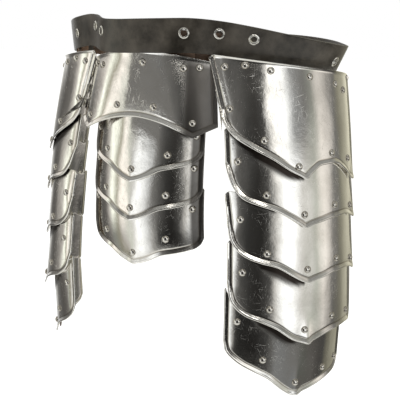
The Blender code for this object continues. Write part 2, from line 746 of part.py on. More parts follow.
def build_side_lame(index, mirror, straps, collection, tools, material):
    """One lame of a side set with its rivets."""
    tip, tip_across, front_top, front_low, rear, _ = SIDE_LAMES[index]
    lip = LIP_FLARE if index == 0 else 0.0
    columns = []
    for share in [row[0] for row in EDGE_RISE]:
        reach_top = front_top + tip_across if share < 0 else rear - tip_across
        reach_low = front_low + tip_across if share < 0 else rear - tip_across
        top = side_top(index, tip_across + share * reach_top) - (TOP_CORNER if abs(share) == 1 else 0.0)
        low = edge_at(index, share)
        column = []
        for height, flare in levels(top, low, lip):
            across = tip_across + share * blend(reach_top, reach_low, (top - height) / (top - low))
            column.append(mirrored(side_point(index, across, height, -flare), mirror))
        columns.append(column)
    plate = plate_tree(columns)
    work = bmesh.new()
    for k, (across, rise) in enumerate(zip(SIDE_RIVETS_ACROSS[index], SIDE_RIVETS_RISE[index])):
        strap = straps[k - 1] if 1 <= k <= len(straps) else None
        place = side_point(index, across, tip + rise * LAME_PITCH)
        add_rivet(work, plate, mirrored(place, mirror), mirror, strap, index + 1)
    for across, under, held in SIDE_TOP_RIVETS if index == 0 else []:
        strap = straps[SIDE_STRAPS.index(held)] if held else None
        place = side_point(index, across, side_top(index, across) - under)
        add_rivet(work, plate, mirrored(place, mirror), mirror, strap)
    side = "left" if mirror > 0 else "right"
    finish_plate(f"{side}_lame_{index + 1}", columns, work, collection, tools, material)


def build_front_plate(straps, collection, tools, material):
    """The two-pointed plate under the belt."""
    shares = [-share for share in FRONT_COLUMNS[:0:-1]] + FRONT_COLUMNS
    columns = []
    for share in shares:
        top = front_plate_top(share * FRONT_TOP_HALF) - (TOP_CORNER if abs(share) == 1 else 0.0)
        low = front_plate_edge(share * FRONT_LOW_HALF)
        column = []
        for height, flare in levels(top, low, LIP_FLARE / 2):
            x = share * blend(FRONT_TOP_HALF, FRONT_LOW_HALF, (top - height) / (top - low))
            column.append(front_plate_point(x, height, -flare))
        columns.append(column)
    plate = plate_tree(columns)
    work = bmesh.new()
    for x, height, held, both in FRONT_RIVETS:
        for mirror in (1, -1) if both else (1,):
            place = front_plate_point(x * mirror, height)
            add_rivet(work, plate, place, mirror, straps[mirror] if held else None)
    finish_plate("front_plate", columns, work, collection, tools, material)


def build_front_lame(index, straps, collection, tools, material):
    """One lame of the front set with its rivets."""
    tip, half_arc = FRONT_LAMES[index]
    shares = [row[0] for row in FRONT_EDGE_RISE]
    columns = []
    for share in [-share for share in shares[:0:-1]] + shares:
        arc = share * half_arc
        low = front_lame_edge(index, arc)
        top = front_lame_top(index, arc) - (TOP_CORNER if abs(share) == 1 else 0.0)
        columns.append([front_lame_point(index, arc, height, -flare) for height, flare in levels(top, low, 0.0)])
    plate = plate_tree(columns)
    work = bmesh.new()
    for arc, rises, held in FRONT_LAME_RIVETS:
        for mirror in (1, -1) if arc else (1,):
            place = front_lame_point(index, arc * mirror, tip + rises[index])
            add_rivet(work, plate, place, mirror, straps[mirror] if held else None, index + 1)
    finish_plate(f"front_lame_{index + 1}", columns, work, collection, tools, material)


def side_straps(belt, mirror):
    """The three straps of a side set."""
    plates = []
    for index in range(len(SIDE_LAMES)):
        plates.append((
            lambda across, i=index: side_top(i, across),
            lambda across, i=index: side_edge(i, across),
            lambda across, height, i=index: side_point(i, across, height),
        ))
    straps = []
    for number, name in enumerate(SIDE_STRAPS):
        top = next(row for row in SIDE_TOP_RIVETS if row[2] == name)
        rivets = [(top[0], side_top(0, top[0]) - top[1])]
        for lame, across, rise in zip(SIDE_LAMES, SIDE_RIVETS_ACROSS, SIDE_RIVETS_RISE):
            rivets.append((across[number + 1], lame[0] + rise[number + 1] * LAME_PITCH))

        def base(across, height):
            return hip_point(HIP_SECTIONS, across, height)

        straps.append(Strap(base, plates, belt, rivets, STRAP_WIDTH / 2 / HIP_DEGREE, mirror))
    return straps


def front_strap(belt, mirror):
    """One of the two straps of the front set."""
    plates = [(front_plate_top, front_plate_edge, front_plate_point)]
    for index in range(len(FRONT_LAMES)):
        def as_arc(x):
            return FRONT_RADIUS * math.asin(x / FRONT_RADIUS)

        plates.append((
            lambda x, i=index: front_lame_top(i, as_arc(x)),
            lambda x, i=index: front_lame_edge(i, as_arc(x)),
            lambda x, height, i=index: front_lame_point(i, as_arc(x), height),
        ))
    x, height, _, _ = next(row for row in FRONT_RIVETS if row[2])
    rivets = [(x, height)]
    arc, rises, _ = next(row for row in FRONT_LAME_RIVETS if row[2])
    for lame, rise in zip(FRONT_LAMES, rises):
        rivets.append((FRONT_RADIUS * math.sin(arc / FRONT_RADIUS), lame[0] + rise))

    def base(x, height):
        place = front_plate_point(x, height)
        return place, (front_plate_point(x, height, -1.0) - place).normalized()

    return Strap(base, plates, belt, rivets, STRAP_WIDTH / 2, mirror)


def main():
    """Builds every piece."""
    for old in list(bpy.data.objects):
        bpy.data.objects.remove(old, do_unlink=True)
    pieces = bpy.data.collections.new("tasset")
    tools = bpy.data.collections.new("cutters")
    for collection in (pieces, tools):
        bpy.context.scene.collection.children.link(collection)
    leather = new_material("leather", LEATHER, 0.42, 0.0)
    hidden_leather = new_material("strap_leather", HIDDEN_LEATHER, 0.6, 0.0)
    steel = new_material("steel", POLISHED, 0.12, 1.0)
    nickel = new_material("nickel", NICKEL, 0.2, 1.0)

    belt = Belt()
    belt.build(pieces, tools, leather)
    belt.build_stud(pieces, nickel)
    for number in range(len(EYELETS)):
        belt.build_eyelet(number, pieces, nickel)

    for side, mirror in (("left", 1), ("right", -1)):
        straps = side_straps(belt, mirror)
        for index in range(len(SIDE_LAMES)):
            build_side_lame(index, mirror, straps, pieces, tools, steel)
        for number, strap in enumerate(straps):
            build_strap(f"{side}_strap_{number + 1}", strap, pieces, tools, hidden_leather)

    straps = {mirror: front_strap(belt, mirror) for mirror in (1, -1)}
    build_front_plate(straps, pieces, tools, steel)
    for index in range(len(FRONT_LAMES)):
        build_front_lame(index, straps, pieces, tools, steel)
    build_strap("front_strap_1", straps[1], pieces, tools, hidden_leather)
    build_strap("front_strap_2", straps[-1], pieces, tools, hidden_leather)


main()
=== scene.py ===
"""Looks of the tasset: a dark leather waist belt carrying polished steel lames over both hips and the front.

Metres, +Z up. The wearer faces -Y and the wearer's left is +X. The plates, the belt, the eyelets and the
stud are modelled again here, smooth and with rolled rims, on the same surfaces as the solids that they
replace.
"""
import logging
import math
from dataclasses import dataclass, field
from enum import Enum
from typing import Callable, Optional

import bpy
import numpy as np
from mathutils import Matrix, Vector

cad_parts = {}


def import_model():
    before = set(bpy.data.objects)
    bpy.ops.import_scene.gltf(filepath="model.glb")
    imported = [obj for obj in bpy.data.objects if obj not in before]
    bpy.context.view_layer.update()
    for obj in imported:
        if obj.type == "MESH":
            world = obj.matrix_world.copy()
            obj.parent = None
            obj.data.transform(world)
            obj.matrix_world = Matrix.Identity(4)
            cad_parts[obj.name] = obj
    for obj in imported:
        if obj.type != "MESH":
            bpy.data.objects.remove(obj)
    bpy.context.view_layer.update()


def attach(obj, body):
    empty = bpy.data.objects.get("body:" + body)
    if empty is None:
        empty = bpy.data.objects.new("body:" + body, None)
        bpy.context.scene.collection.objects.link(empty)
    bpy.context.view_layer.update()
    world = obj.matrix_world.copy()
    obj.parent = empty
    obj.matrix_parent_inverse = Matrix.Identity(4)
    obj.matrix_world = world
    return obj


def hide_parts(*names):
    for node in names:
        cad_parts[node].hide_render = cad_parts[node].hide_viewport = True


LOG = logging.getLogger("tasset")
MM = 0.001
MERGE_DISTANCE = 1e-6
# How far a lame's top reaches under the plate above, and how much it tucks in per height
LAP = 7 * MM
NEST = 0.045
# The front plates' straps, with the sign of their side along X
FRONT_STRAPS = ((1, "front_strap_1"), (-1, "front_strap_2"))
Row = tuple[float, ...]
Colour = tuple[float, float, float, float]

# The belt's way round: what it lies against, across, stand-off, height of its middle, outward lean in degrees
BELT_ROUTE = [
    ("back", 0.0, 0.0, -12, 3),
    ("back", 0.36, 0.0, -11, 3),
    ("back", 0.70, 0.0, -8, 4),
    ("right", 42, -6.5, -6, 6),
    ("right", 15, -9.5, -4, 6),
    ("right", -8, -11.5, 0, 5),
    ("right", -30, -8.5, 4, 4),
    ("right", -45, -6.5, 7, 0),
    ("front", -80, 2.5, 6, -2),
    ("front", -60, 4.3, 1.5, 0),
    ("front", -30, 4.3, 0, 0),
    ("front", 0, 4.3, 0.5, 0),
    ("front", 35, 4.3, 1.3, 1),
    ("front", 66, 4.6, 2, 4),
    ("left", -44, -4.5, -1.6, 10),
    ("left", -27, -4.0, -7, 18),
    ("left", -7, -3.8, -14.5, 24),
    ("left", 15, -3.8, -21.5, 27),
    ("left", 40, -3.8, -26.5, 25),
    ("back", -0.70, 0.0, -22, 13),
    ("back", -0.36, 0.0, -16, 6),
]
# Direction from the origin in degrees towards the wearer's left, millimetres over the belt's middle
EYELETS = [(-57.0, -1.5), (-34.9, 6), (-24.4, 4), (24.4, 3), (40.6, 5.7), (54.5, 6), (89.6, -1.5)]

# Hip surface in millimetres: height, front_radius, rear_radius, ridge_out
HIP_SECTIONS = [
    (-23, 144, 118, -22),
    (-163, 123, 123, 4),
    (-228, 123, 127, 9.5),
    (-298, 123, 130, 13),
    (-378, 123, 124, 17.5),
]
LAST_SECTIONS = [(-310, 136, 118, 6.5), (-448, 140, 118, 1)]
# Rise of the lower edge over the point as shares of the pitch: across, lame_1 to lame_5
EDGE_RISE = [
    (-1.00, 0.89, 1.11, 1.09, 1.11, 1.10),
    (-0.97, 0.83, 0.94, 0.83, 0.86, 0.93),
    (-0.90, 0.76, 0.70, 0.64, 0.69, 0.81),
    (-0.77, 0.64, 0.51, 0.49, 0.55, 0.67),
    (-0.60, 0.50, 0.42, 0.40, 0.46, 0.54),
    (-0.42, 0.36, 0.34, 0.33, 0.34, 0.40),
    (-0.20, 0.15, 0.18, 0.14, 0.11, 0.13),
    (-0.08, 0.06, 0.07, 0.04, 0.04, 0.02),
    (0.00, 0.00, 0.00, 0.00, 0.00, 0.00),
    (0.08, 0.11, 0.04, 0.03, 0.05, 0.04),
    (0.20, 0.22, 0.08, 0.06, 0.10, 0.07),
    (0.40, 0.23, 0.12, 0.11, 0.14, 0.12),
    (0.60, 0.09, 0.12, 0.10, 0.14, 0.16),
    (0.80, -0.10, 0.04, 0.04, 0.11, 0.19),
    (0.93, -0.19, -0.04, -0.04, 0.07, 0.27),
    (1.00, -0.07, 0.06, 0.06, 0.16, 0.40),
]
# Middle of the front lames in millimetres: height, y
FRONT_SECTIONS = [(-98, -152), (-180, -160), (-230, -162), (-290, -153)]
# Rise of their lower edge over the point by share of the half breadth
FRONT_EDGE_RISE = [
    (0, 0), (0.12, 0.08), (0.24, 0.2), (0.42, 0.41),
    (0.62, 0.51), (0.85, 0.65), (0.95, 0.8), (1, 1),
]


class Side(Enum):
    """Which of the wearer's sides a set hangs on, with its sign along X."""

    LEFT = 1
    RIGHT = -1

    @property
    def word(self) -> str:
        """Side as it stands in the names of nodes."""
        return self.name.lower()

    def mirror(self, points: np.ndarray) -> np.ndarray:
        """Points of the wearer's left side brought to this side."""
        return points * np.array([self.value, 1, 1])


def blend(start, end, share):
    """Value part of the way from start to end."""
    return start + (end - start) * share


def ease(share: float) -> float:
    """Smooth step from 0 to 1, held outside them."""
    share = min(max(share, 0.0), 1.0)
    return share * share * (3 - 2 * share)


def read_smooth(rows: list[Row], value: float) -> list[float]:
    """Reads a table by its first column along a curve without overshoot.

    Args:
        rows: Rows in rising order of their first column.
        value: Where to read, held at the ends.

    Returns:
        The other columns at the value.
    """
    value = min(max(value, rows[0][0]), rows[-1][0])
    at = next(k for k in range(len(rows) - 1) if value <= rows[k + 1][0])
    span = rows[at + 1][0] - rows[at][0]
    t = (value - rows[at][0]) / span
    result = []
    for column in range(1, len(rows[0])):
        def rate(k: int) -> float:
            """Rise between two rows."""
            return (rows[k + 1][column] - rows[k][column]) / (rows[k + 1][0] - rows[k][0])

        def slope(k: int) -> float:
            """Slope of the curve at a row, level where the table turns."""
            if k in (0, len(rows) - 1):
                return rate(min(k, len(rows) - 2))
            before, after = rate(k - 1), rate(k)
            return 2 * before * after / (before + after) if before * after > 0 else 0.0

        start, end = rows[at][column], rows[at + 1][column]
        value_here = start * (1 + 2 * t) * (1 - t) ** 2 + end * t * t * (3 - 2 * t)
        result.append(value_here + span * (slope(at) * t * (1 - t) ** 2 - slope(at + 1) * t * t * (1 - t)))
    return result


def only(target: bpy.types.Object) -> None:
    """Makes one object the only selected and active one."""
    if bpy.context.mode != "OBJECT":
        bpy.ops.object.mode_set(mode="OBJECT")
    bpy.ops.object.select_all(action="DESELECT")
    target.select_set(True)
    bpy.context.view_layer.objects.active = target


def finish_with(target: bpy.types.Object, kind: str, **settings) -> None:
    """Adds a modifier and applies it.

    Args:
        target: Object that gets it.
        kind: Type of modifier.
        settings: Values of the modifier.
    """
    only(target)
    step = target.modifiers.new(kind.lower(), kind)
    for key, value in settings.items():
        setattr(step, key, value)
    bpy.ops.object.modifier_apply(modifier=step.name)


def round_edges(target: bpy.types.Object, width: float, segments: int = 2, angle: float = 50) -> None:
    """Rounds the edges over an angle in degrees."""
    finish_with(target, "BEVEL", width=width, segments=segments, limit_method="ANGLE",
                angle_limit=math.radians(angle))


def tidy_mesh(target: bpy.types.Object) -> None:
    """Merges doubles and turns all faces outwards."""
    only(target)
    bpy.ops.object.mode_set(mode="EDIT")
    bpy.ops.mesh.select_all(action="SELECT")
    bpy.ops.mesh.remove_doubles(threshold=MERGE_DISTANCE)
    bpy.ops.mesh.normals_make_consistent(inside=False)
    bpy.ops.object.mode_set(mode="OBJECT")


def smooth(target: bpy.types.Object, angle: float = 40) -> None:
    """Smooth shading with sharp edges over an angle in degrees."""
    only(target)
    bpy.ops.object.shade_smooth_by_angle(angle=math.radians(angle))


def join_all(target: bpy.types.Object, others: list[bpy.types.Object]) -> None:
    """Joins other objects into the target."""
    only(target)
    for other in others:
        other.select_set(True)
    bpy.ops.object.join()


def copy_of(source: bpy.types.Object, name: str, place: Matrix) -> bpy.types.Object:
    """A copy with its own mesh, which is moved and not the object."""
    made = source.copy()
    made.data = source.data.copy()
    made.name = name
    made.data.transform(place)
    bpy.context.scene.collection.objects.link(made)
    return made


def primitive(add: Callable, **settings) -> bpy.types.Object:
    """Adds a primitive with nothing else selected.

    Args:
        add: The primitive's operator.
        settings: What it is given.

    Returns:
        The new object.
    """
    bpy.ops.object.select_all(action="DESELECT")
    add(**settings)
    return bpy.context.active_object


def grid_sheet(name: str, points: np.ndarray) -> bpy.types.Object:
    """A grid primitive whose vertices are moved onto rows and columns of points.

    Args:
        name: Name of the object.
        points: Array of rows, columns and coordinates.

    Returns:
        The open sheet.
    """
    rows, columns = points.shape[:2]
    made = primitive(bpy.ops.mesh.primitive_grid_add, size=1,
                     x_subdivisions=columns - 1, y_subdivisions=rows - 1)
    made.name = made.data.name = name
    made.data.vertices.foreach_set("co", points.reshape(-1, 3).astype(np.float32).ravel())
    made.data.update()
    return made


def turned(name: str, profile: list[tuple[float, float]], sides: int) -> bpy.types.Object:
    """A solid of revolution about Z: a circle of points set on a profile, then spun.

    Args:
        name: Name of the object.
        profile: Closed loop of radius and height, or an open one that starts and ends on the axis.
        sides: Steps of the spin.

    Returns:
        The closed solid.
    """
    made = primitive(bpy.ops.mesh.primitive_circle_add, radius=1 * MM,
                     vertices=len(profile), fill_type="NOTHING")
    made.name = made.data.name = name
    for vertex, (radius, height) in zip(made.data.vertices, profile):
        vertex.co = (radius, 0, height)
    bpy.ops.object.mode_set(mode="EDIT")
    bpy.ops.mesh.select_all(action="SELECT")
    bpy.ops.mesh.spin(steps=sides, angle=math.tau, center=(0, 0, 0), axis=(0, 0, 1))
    tidy_mesh(made)
    return made


def facing(place: Vector, axis: Vector) -> Matrix:
    """Transform that stands a Z-up solid at a place along an axis."""
    return Matrix.Translation(place) @ axis.normalized().to_track_quat("Z", "Y").to_matrix().to_4x4()


# Finishes


class Nodes:
    """Short way to add and link the nodes of one tree."""

    def __init__(self, tree: bpy.types.NodeTree) -> None:
        """Keeps the tree."""
        self.tree = tree

    def add(self, kind: str, inputs: Optional[dict] = None, **settings) -> bpy.types.Node:
        """Adds a node.

        Args:
            kind: Type of node.
            inputs: Values or output sockets for its inputs, by name or number.
            settings: Properties of the node.

        Returns:
            The node.
        """
        node = self.tree.nodes.new(kind)
        for key, value in settings.items():
            setattr(node, key, value)
        for key, value in (inputs or {}).items():
            self.feed(node.inputs[key], value)
        return node

    def group(self, tree: bpy.types.NodeTree, **values: float) -> bpy.types.Node:
        """Adds a group with its values set."""
        node = self.add("ShaderNodeGroup")
        node.node_tree = tree
        for key, value in values.items():
            node.inputs[key].default_value = value
        return node

    def feed(self, socket: bpy.types.NodeSocket, value) -> None:
        """Links an output to a socket, or sets the socket's value."""
        if isinstance(value, bpy.types.NodeSocket):
            self.tree.links.new(value, socket)
        else:
            socket.default_value = value

    def math(self, operation: str, first, second=0.0, third=0.0) -> bpy.types.NodeSocket:
        """Output of a Math node."""
        return self.add("ShaderNodeMath", {0: first, 1: second, 2: third}, operation=operation).outputs[0]

    def ramp(self, value, stops: list[tuple[float, float | Colour]]) -> bpy.types.NodeSocket:
        """Output of a colour ramp with given stops, each a grey level or a colour."""
        node = self.add("ShaderNodeValToRGB", {0: value})
        elements = node.color_ramp.elements
        while len(elements) < len(stops):
            elements.new(0.5)
        for element, (place, level) in zip(elements, sorted(stops)):
            element.position = place
            element.color = level if isinstance(level, tuple) else (level, level, level, 1)
        return node.outputs[0]

    def noise(self, vector, scale: float, detail: float, roughness: float = 0.5) -> bpy.types.NodeSocket:
        """Factor of a Noise Texture."""
        node = self.add("ShaderNodeTexNoise", {"Vector": vector, "Scale": scale, "Detail": detail,
                                               "Roughness": roughness})
        return node.outputs["Fac"]

    def mix(self, share, first, second) -> bpy.types.NodeSocket:
        """Mixed colour."""
        node = self.add("ShaderNodeMix", {0: share, 6: first, 7: second}, data_type="RGBA")
        return node.outputs[2]


def new_group(name: str, inputs: dict[str, float], outputs: list[str]) -> tuple[bpy.types.NodeTree, Nodes]:
    """A shader node group with named float inputs and outputs.

    Args:
        name: Name of the group.
        inputs: Names and starting values.
        outputs: Names.

    Returns:
        The group, and its nodes.
    """
    group = bpy.data.node_groups.new(name, "ShaderNodeTree")
    for label, value in inputs.items():
        socket = group.interface.new_socket(name=label, in_out="INPUT", socket_type="NodeSocketFloat")
        socket.default_value = value
    for label in outputs:
        group.interface.new_socket(name=label, in_out="OUTPUT", socket_type="NodeSocketFloat")
    return group, Nodes(group)


def scratch_group() -> bpy.types.NodeTree:
    """Fine scratches: thin broken streaks, stretched along one direction of the plate's own map."""
    group, nodes = new_group("scratches", {"Turn": 0.0, "Fineness": 1.0, "Amount": 0.5}, ["Mask"])
    entry = nodes.add("NodeGroupInput")
    coordinates = nodes.add("ShaderNodeTexCoord").outputs["UV"]
    turned_to = nodes.add("ShaderNodeVectorRotate", {"Vector": coordinates, "Angle": entry.outputs["Turn"]},
                          rotation_type="Z_AXIS")
    stretch = nodes.add("ShaderNodeVectorMath", {0: turned_to.outputs[0], 1: (1100, 42, 1)},
                        operation="MULTIPLY")
    scaled = nodes.add("ShaderNodeVectorMath", {0: stretch.outputs[0]}, operation="SCALE")
    nodes.feed(scaled.inputs["Scale"], entry.outputs["Fineness"])
    streaks = nodes.noise(scaled.outputs[0], 1.0, 2.0, 0.6)
    patches = nodes.noise(coordinates, 30.0, 2.0)
    level = nodes.math("MULTIPLY_ADD", entry.outputs["Amount"], -0.16, 0.70)
    over = nodes.math("SUBTRACT", streaks, level)
    sharp = nodes.math("MULTIPLY", over, 14.0)
    held = nodes.math("MINIMUM", nodes.math("MAXIMUM", sharp, 0.0), 1.0)
    uneven = nodes.ramp(patches, [(0.40, 0.0), (0.58, 1.0)])
    exit_node = nodes.add("NodeGroupOutput")
    nodes.feed(exit_node.inputs["Mask"], nodes.math("MULTIPLY", held, uneven))
    return group


def wear_group() -> bpy.types.NodeTree:
    """Slow uneven marks: smudges, and a shallow waviness from the hammer."""
    group, nodes = new_group("handling", {"Size": 20.0}, ["Smudge", "Wave"])
    entry = nodes.add("NodeGroupInput")
    coordinates = nodes.add("ShaderNodeTexCoord").outputs["Object"]
    smudge = nodes.noise(coordinates, entry.outputs["Size"], 5.0, 0.62)
    flattened = nodes.add("ShaderNodeVectorMath", {0: coordinates, 1: (24, 24, 9)}, operation="MULTIPLY")
    wave = nodes.noise(flattened.outputs[0], 1.0, 1.0, 0.4)
    exit_node = nodes.add("NodeGroupOutput")
    nodes.feed(exit_node.inputs["Smudge"], smudge)
    nodes.feed(exit_node.inputs["Wave"], wave)
    return group


def new_material(name: str) -> tuple[bpy.types.Material, Nodes, bpy.types.Node]:
    """An empty Principled material, its nodes and its shader."""
    material = bpy.data.materials.new(name)
    material.use_nodes = True
    return material, Nodes(material.node_tree), material.node_tree.nodes["Principled BSDF"]


def glowing(name: str, grey: float, roughness: float, glow: Colour, strength: float) -> bpy.types.Material:
    """A plain grey material that also gives off light."""
    material, _, shader = new_material(name)
    shader.inputs["Base Color"].default_value = (grey, grey, grey, 1)
    shader.inputs["Roughness"].default_value = roughness
    shader.inputs["Emission Color"].default_value = glow
    shader.inputs["Emission Strength"].default_value = strength
    return material


@dataclass(frozen=True)
class PolishedSteel:
    """Bright polished plate with fine scratches and smudges, and painted shade darkening the line inside the
    rolled rims, the rivet heads, and the gaps and ends of the plates.
    """

    colour: Colour = (0.84, 0.825, 0.79, 1)
    # Smudges, and painted shade along the rim grooves and on the rivet heads, mix towards this colour
    tarnish_and_shade: Colour = (0.42, 0.39, 0.34, 1)
    # Colour of the painted shade in the gaps under the plates and at their ends
    gap: Colour = (0.034, 0.028, 0.024, 1)
    roughness: float = 0.085
    smudge_size: float = 26.0
    scratch_depth: float = 0.05 * MM
    wave_depth: float = 3.5 * MM
    mottle_depth: float = 0.7 * MM

    # Turn, fineness and amount of each layer of scratches
    SCRATCHES = [(0.30, 1.5, 0.40), (1.25, 1.2, 0.30), (-0.65, 1.7, 0.35)]

    def make(self, scratches: bpy.types.NodeTree, handling: bpy.types.NodeTree) -> bpy.types.Material:
        """The material."""
        material, nodes, shader = new_material("polished_steel")
        wear = nodes.group(handling, Size=self.smudge_size)
        marks = None
        for turn, fineness, amount in self.SCRATCHES:
            layer = nodes.group(scratches, Turn=turn, Fineness=fineness, Amount=amount).outputs["Mask"]
            marks = nodes.math("MAXIMUM", marks, layer) if marks else layer
        groove = nodes.add("ShaderNodeAttribute", attribute_name="groove").outputs["Fac"]
        smudge = nodes.ramp(wear.outputs["Smudge"], [(0.38, 0.0), (0.7, 1.0)])
        shade = nodes.add("ShaderNodeAttribute", attribute_name="gap_shade").outputs["Fac"]
        matt = nodes.math("MULTIPLY_ADD", shade, 0.25, self.roughness)
        dull = nodes.math("MULTIPLY_ADD", smudge, 0.09, matt)
        nodes.feed(shader.inputs["Roughness"], nodes.math("MULTIPLY_ADD", marks, 0.30, dull))
        # Painted shade: the groove mark darkens the line inside the rims and the rivet heads, on top of the
        # smudges
        dark = nodes.math("MULTIPLY_ADD", smudge, 0.30, nodes.math("MULTIPLY", groove, 0.9))
        bare = nodes.mix(dark, self.colour, self.tarnish_and_shade)
        # Painted shade: the gap_shade mark turns the colour nearly black in the gaps and at the ends
        nodes.feed(shader.inputs["Base Color"], nodes.mix(shade, bare, self.gap))
        shader.inputs["Metallic"].default_value = 1.0
        fine = nodes.add("ShaderNodeBump", {"Strength": 0.35, "Distance": self.scratch_depth, "Height": marks})
        broad = nodes.add("ShaderNodeBump", {"Strength": 0.6, "Distance": self.wave_depth,
                                             "Height": wear.outputs["Wave"], "Normal": fine.outputs[0]})
        mottled = nodes.add("ShaderNodeBump", {"Strength": 0.55, "Distance": self.mottle_depth,
                                               "Height": wear.outputs["Smudge"], "Normal": broad.outputs[0]})
        nodes.feed(shader.inputs["Normal"], mottled.outputs[0])
        return material


@dataclass(frozen=True)
class Leather:
    """Smooth leather with a fine grain, uneven colour and rubbed places."""

    name: str
    dark: Colour
    light: Colour
    roughness: float
    grain: float
    smudge_size: float = 34.0
    cell_scale: float = 950.0
    grain_depth: float = 0.2 * MM
    crease_depth: float = 1.2 * MM

    def make(self, handling: bpy.types.NodeTree) -> bpy.types.Material:
        """The material."""
        material, nodes, shader = new_material(self.name)
        wear = nodes.group(handling, Size=self.smudge_size)
        coordinates = nodes.add("ShaderNodeTexCoord").outputs["Object"]
        cells = nodes.add("ShaderNodeTexVoronoi", {"Vector": coordinates, "Scale": self.cell_scale})
        uneven = nodes.ramp(wear.outputs["Smudge"], [(0.34, 0.0), (0.68, 1.0)])
        nodes.feed(shader.inputs["Base Color"], nodes.mix(uneven, self.dark, self.light))
        nodes.feed(shader.inputs["Roughness"], nodes.math("MULTIPLY_ADD", uneven, 0.14, self.roughness))
        grain = nodes.add("ShaderNodeBump", {"Strength": self.grain, "Distance": self.grain_depth,
                                             "Height": cells.outputs["Distance"]})
        crease = nodes.add("ShaderNodeBump", {"Strength": 0.4, "Distance": self.crease_depth,
                                              "Height": wear.outputs["Smudge"], "Normal": grain.outputs[0]})
        nodes.feed(shader.inputs["Normal"], crease.outputs[0])
        return material


@dataclass(frozen=True)
class Nickel:
    """Bright nickel of the eyelets and the stud, a little worn."""

    colour: Colour = (0.80, 0.79, 0.75, 1)
    worn: Colour = (0.62, 0.6, 0.55, 1)
    roughness: float = 0.14
    smudge_size: float = 160.0

    def make(self, handling: bpy.types.NodeTree) -> bpy.types.Material:
        """The material."""
        material, nodes, shader = new_material("bright_nickel")
        smudge = nodes.group(handling, Size=self.smudge_size).outputs["Smudge"]
        nodes.feed(shader.inputs["Base Color"], nodes.mix(smudge, self.colour, self.worn))
        nodes.feed(shader.inputs["Roughness"], nodes.math("MULTIPLY_ADD", smudge, 0.2, self.roughness))
        shader.inputs["Metallic"].default_value = 1.0
        return material


@dataclass
class Palette:
    """The finishes in use."""

    steel: bpy.types.Material
    leather: bpy.types.Material
    strap: bpy.types.Material
    nickel: bpy.types.Material

    @classmethod
    def mixed(cls) -> "Palette":
        """Makes every finish with its shared groups."""
        scratches, handling = scratch_group(), wear_group()
        belt = Leather("belt_leather", (0.012, 0.010, 0.007, 1), (0.055, 0.047, 0.036, 1), 0.30, 0.25)
        hidden = Leather("strap_leather", (0.055, 0.030, 0.016, 1), (0.13, 0.075, 0.042, 1), 0.55, 0.5)
        return cls(PolishedSteel().make(scratches, handling), belt.make(handling), hidden.make(handling),
                   Nickel().make(handling))


def dress(target: bpy.types.Object, material: bpy.types.Material) -> None:
    """Gives an object its only material."""
    target.data.materials.clear()
    target.data.materials.append(material)


# Rivets


@dataclass
class RivetKit:
    """Domed rivets, modelled once and copied."""

    radius: float = 4.7 * MM
    height: float = 3 * MM
    shank: float = 1.6 * MM
    tail: float = 3.4 * MM
    tail_height: float = 0.9 * MM
    strap_wall: float = 2.3 * MM
    plate_wall: float = 1.2 * MM
    # Painted shade on a head: its share at the middle, and the share of the radius where it starts to grow to
    # full and over how much
    dull: float = 0.42
    ring: float = 0.66
    ring_run: float = 0.26
    arc_steps: int = 7
    head_sides: int = 24
    tail_sides: int = 16
    head: Optional[bpy.types.Object] = None
    foot: Optional[bpy.types.Object] = None

    def model(self) -> None:
        """Models the head and the tail that others are copied from."""
        face = self.plate_wall / 2
        arc = [(self.radius * math.cos(a), face + self.height * math.sin(a))
               for a in [math.pi / 2 * k / self.arc_steps for k in range(self.arc_steps)]]
        dome = [(0, 0), (self.radius, 0)] + arc + [(0, face + self.height)]
        self.head = turned("rivet_head", dome, self.head_sides)
        # The tail's heights are shares: from 0 to 1 of the shank's length, and from 1 to 2 of its own height
        self.foot = turned("rivet_tail", [(0, 0), (self.shank, 0), (self.shank, 1), (self.tail, 1),
                                          (self.tail, 1.5), (0.7 * self.tail, 2), (0, 2)], self.tail_sides)
        # Painted shade: the groove mark darkens every head a little, and fully towards its edge
        for model in (self.head, self.foot):
            mark = model.data.attributes.new("groove", "FLOAT", "POINT")
            for number, vertex in enumerate(model.data.vertices):
                out = vertex.co.to_2d().length / self.radius
                share = ease((out - self.ring) / self.ring_run)
                mark.data[number].value = self.dull + (1 - self.dull) * share

    def drop_models(self) -> None:
        """Removes the two models."""
        for model in (self.head, self.foot):
            bpy.data.objects.remove(model, do_unlink=True)

    def place(self, place: Vector, normal: Vector,
              strap: Optional[bpy.types.Object]) -> list[bpy.types.Object]:
        """Sets one rivet.

        Args:
            place: Point on the plate's middle surface.
            normal: Outward direction.
            strap: The strap that it holds, if any.

        Returns:
            Its pieces.
        """
        made = [copy_of(self.head, "rivet", facing(place, normal))]
        if strap:
            _, near, outward, _ = strap.closest_point_on_mesh(place)
            if outward.dot(normal) < 0.5:
                outward = normal
            length = (place - near).dot(outward) + self.strap_wall
            foot = copy_of(self.foot, "rivet", Matrix.Identity(4))
            for vertex in foot.data.vertices:
                height = vertex.co.z
                vertex.co.z = height * length if height <= 1 else length + (height - 1) * self.tail_height
            foot.data.transform(facing(place, -outward))
            made.append(foot)
        return made


# Plates


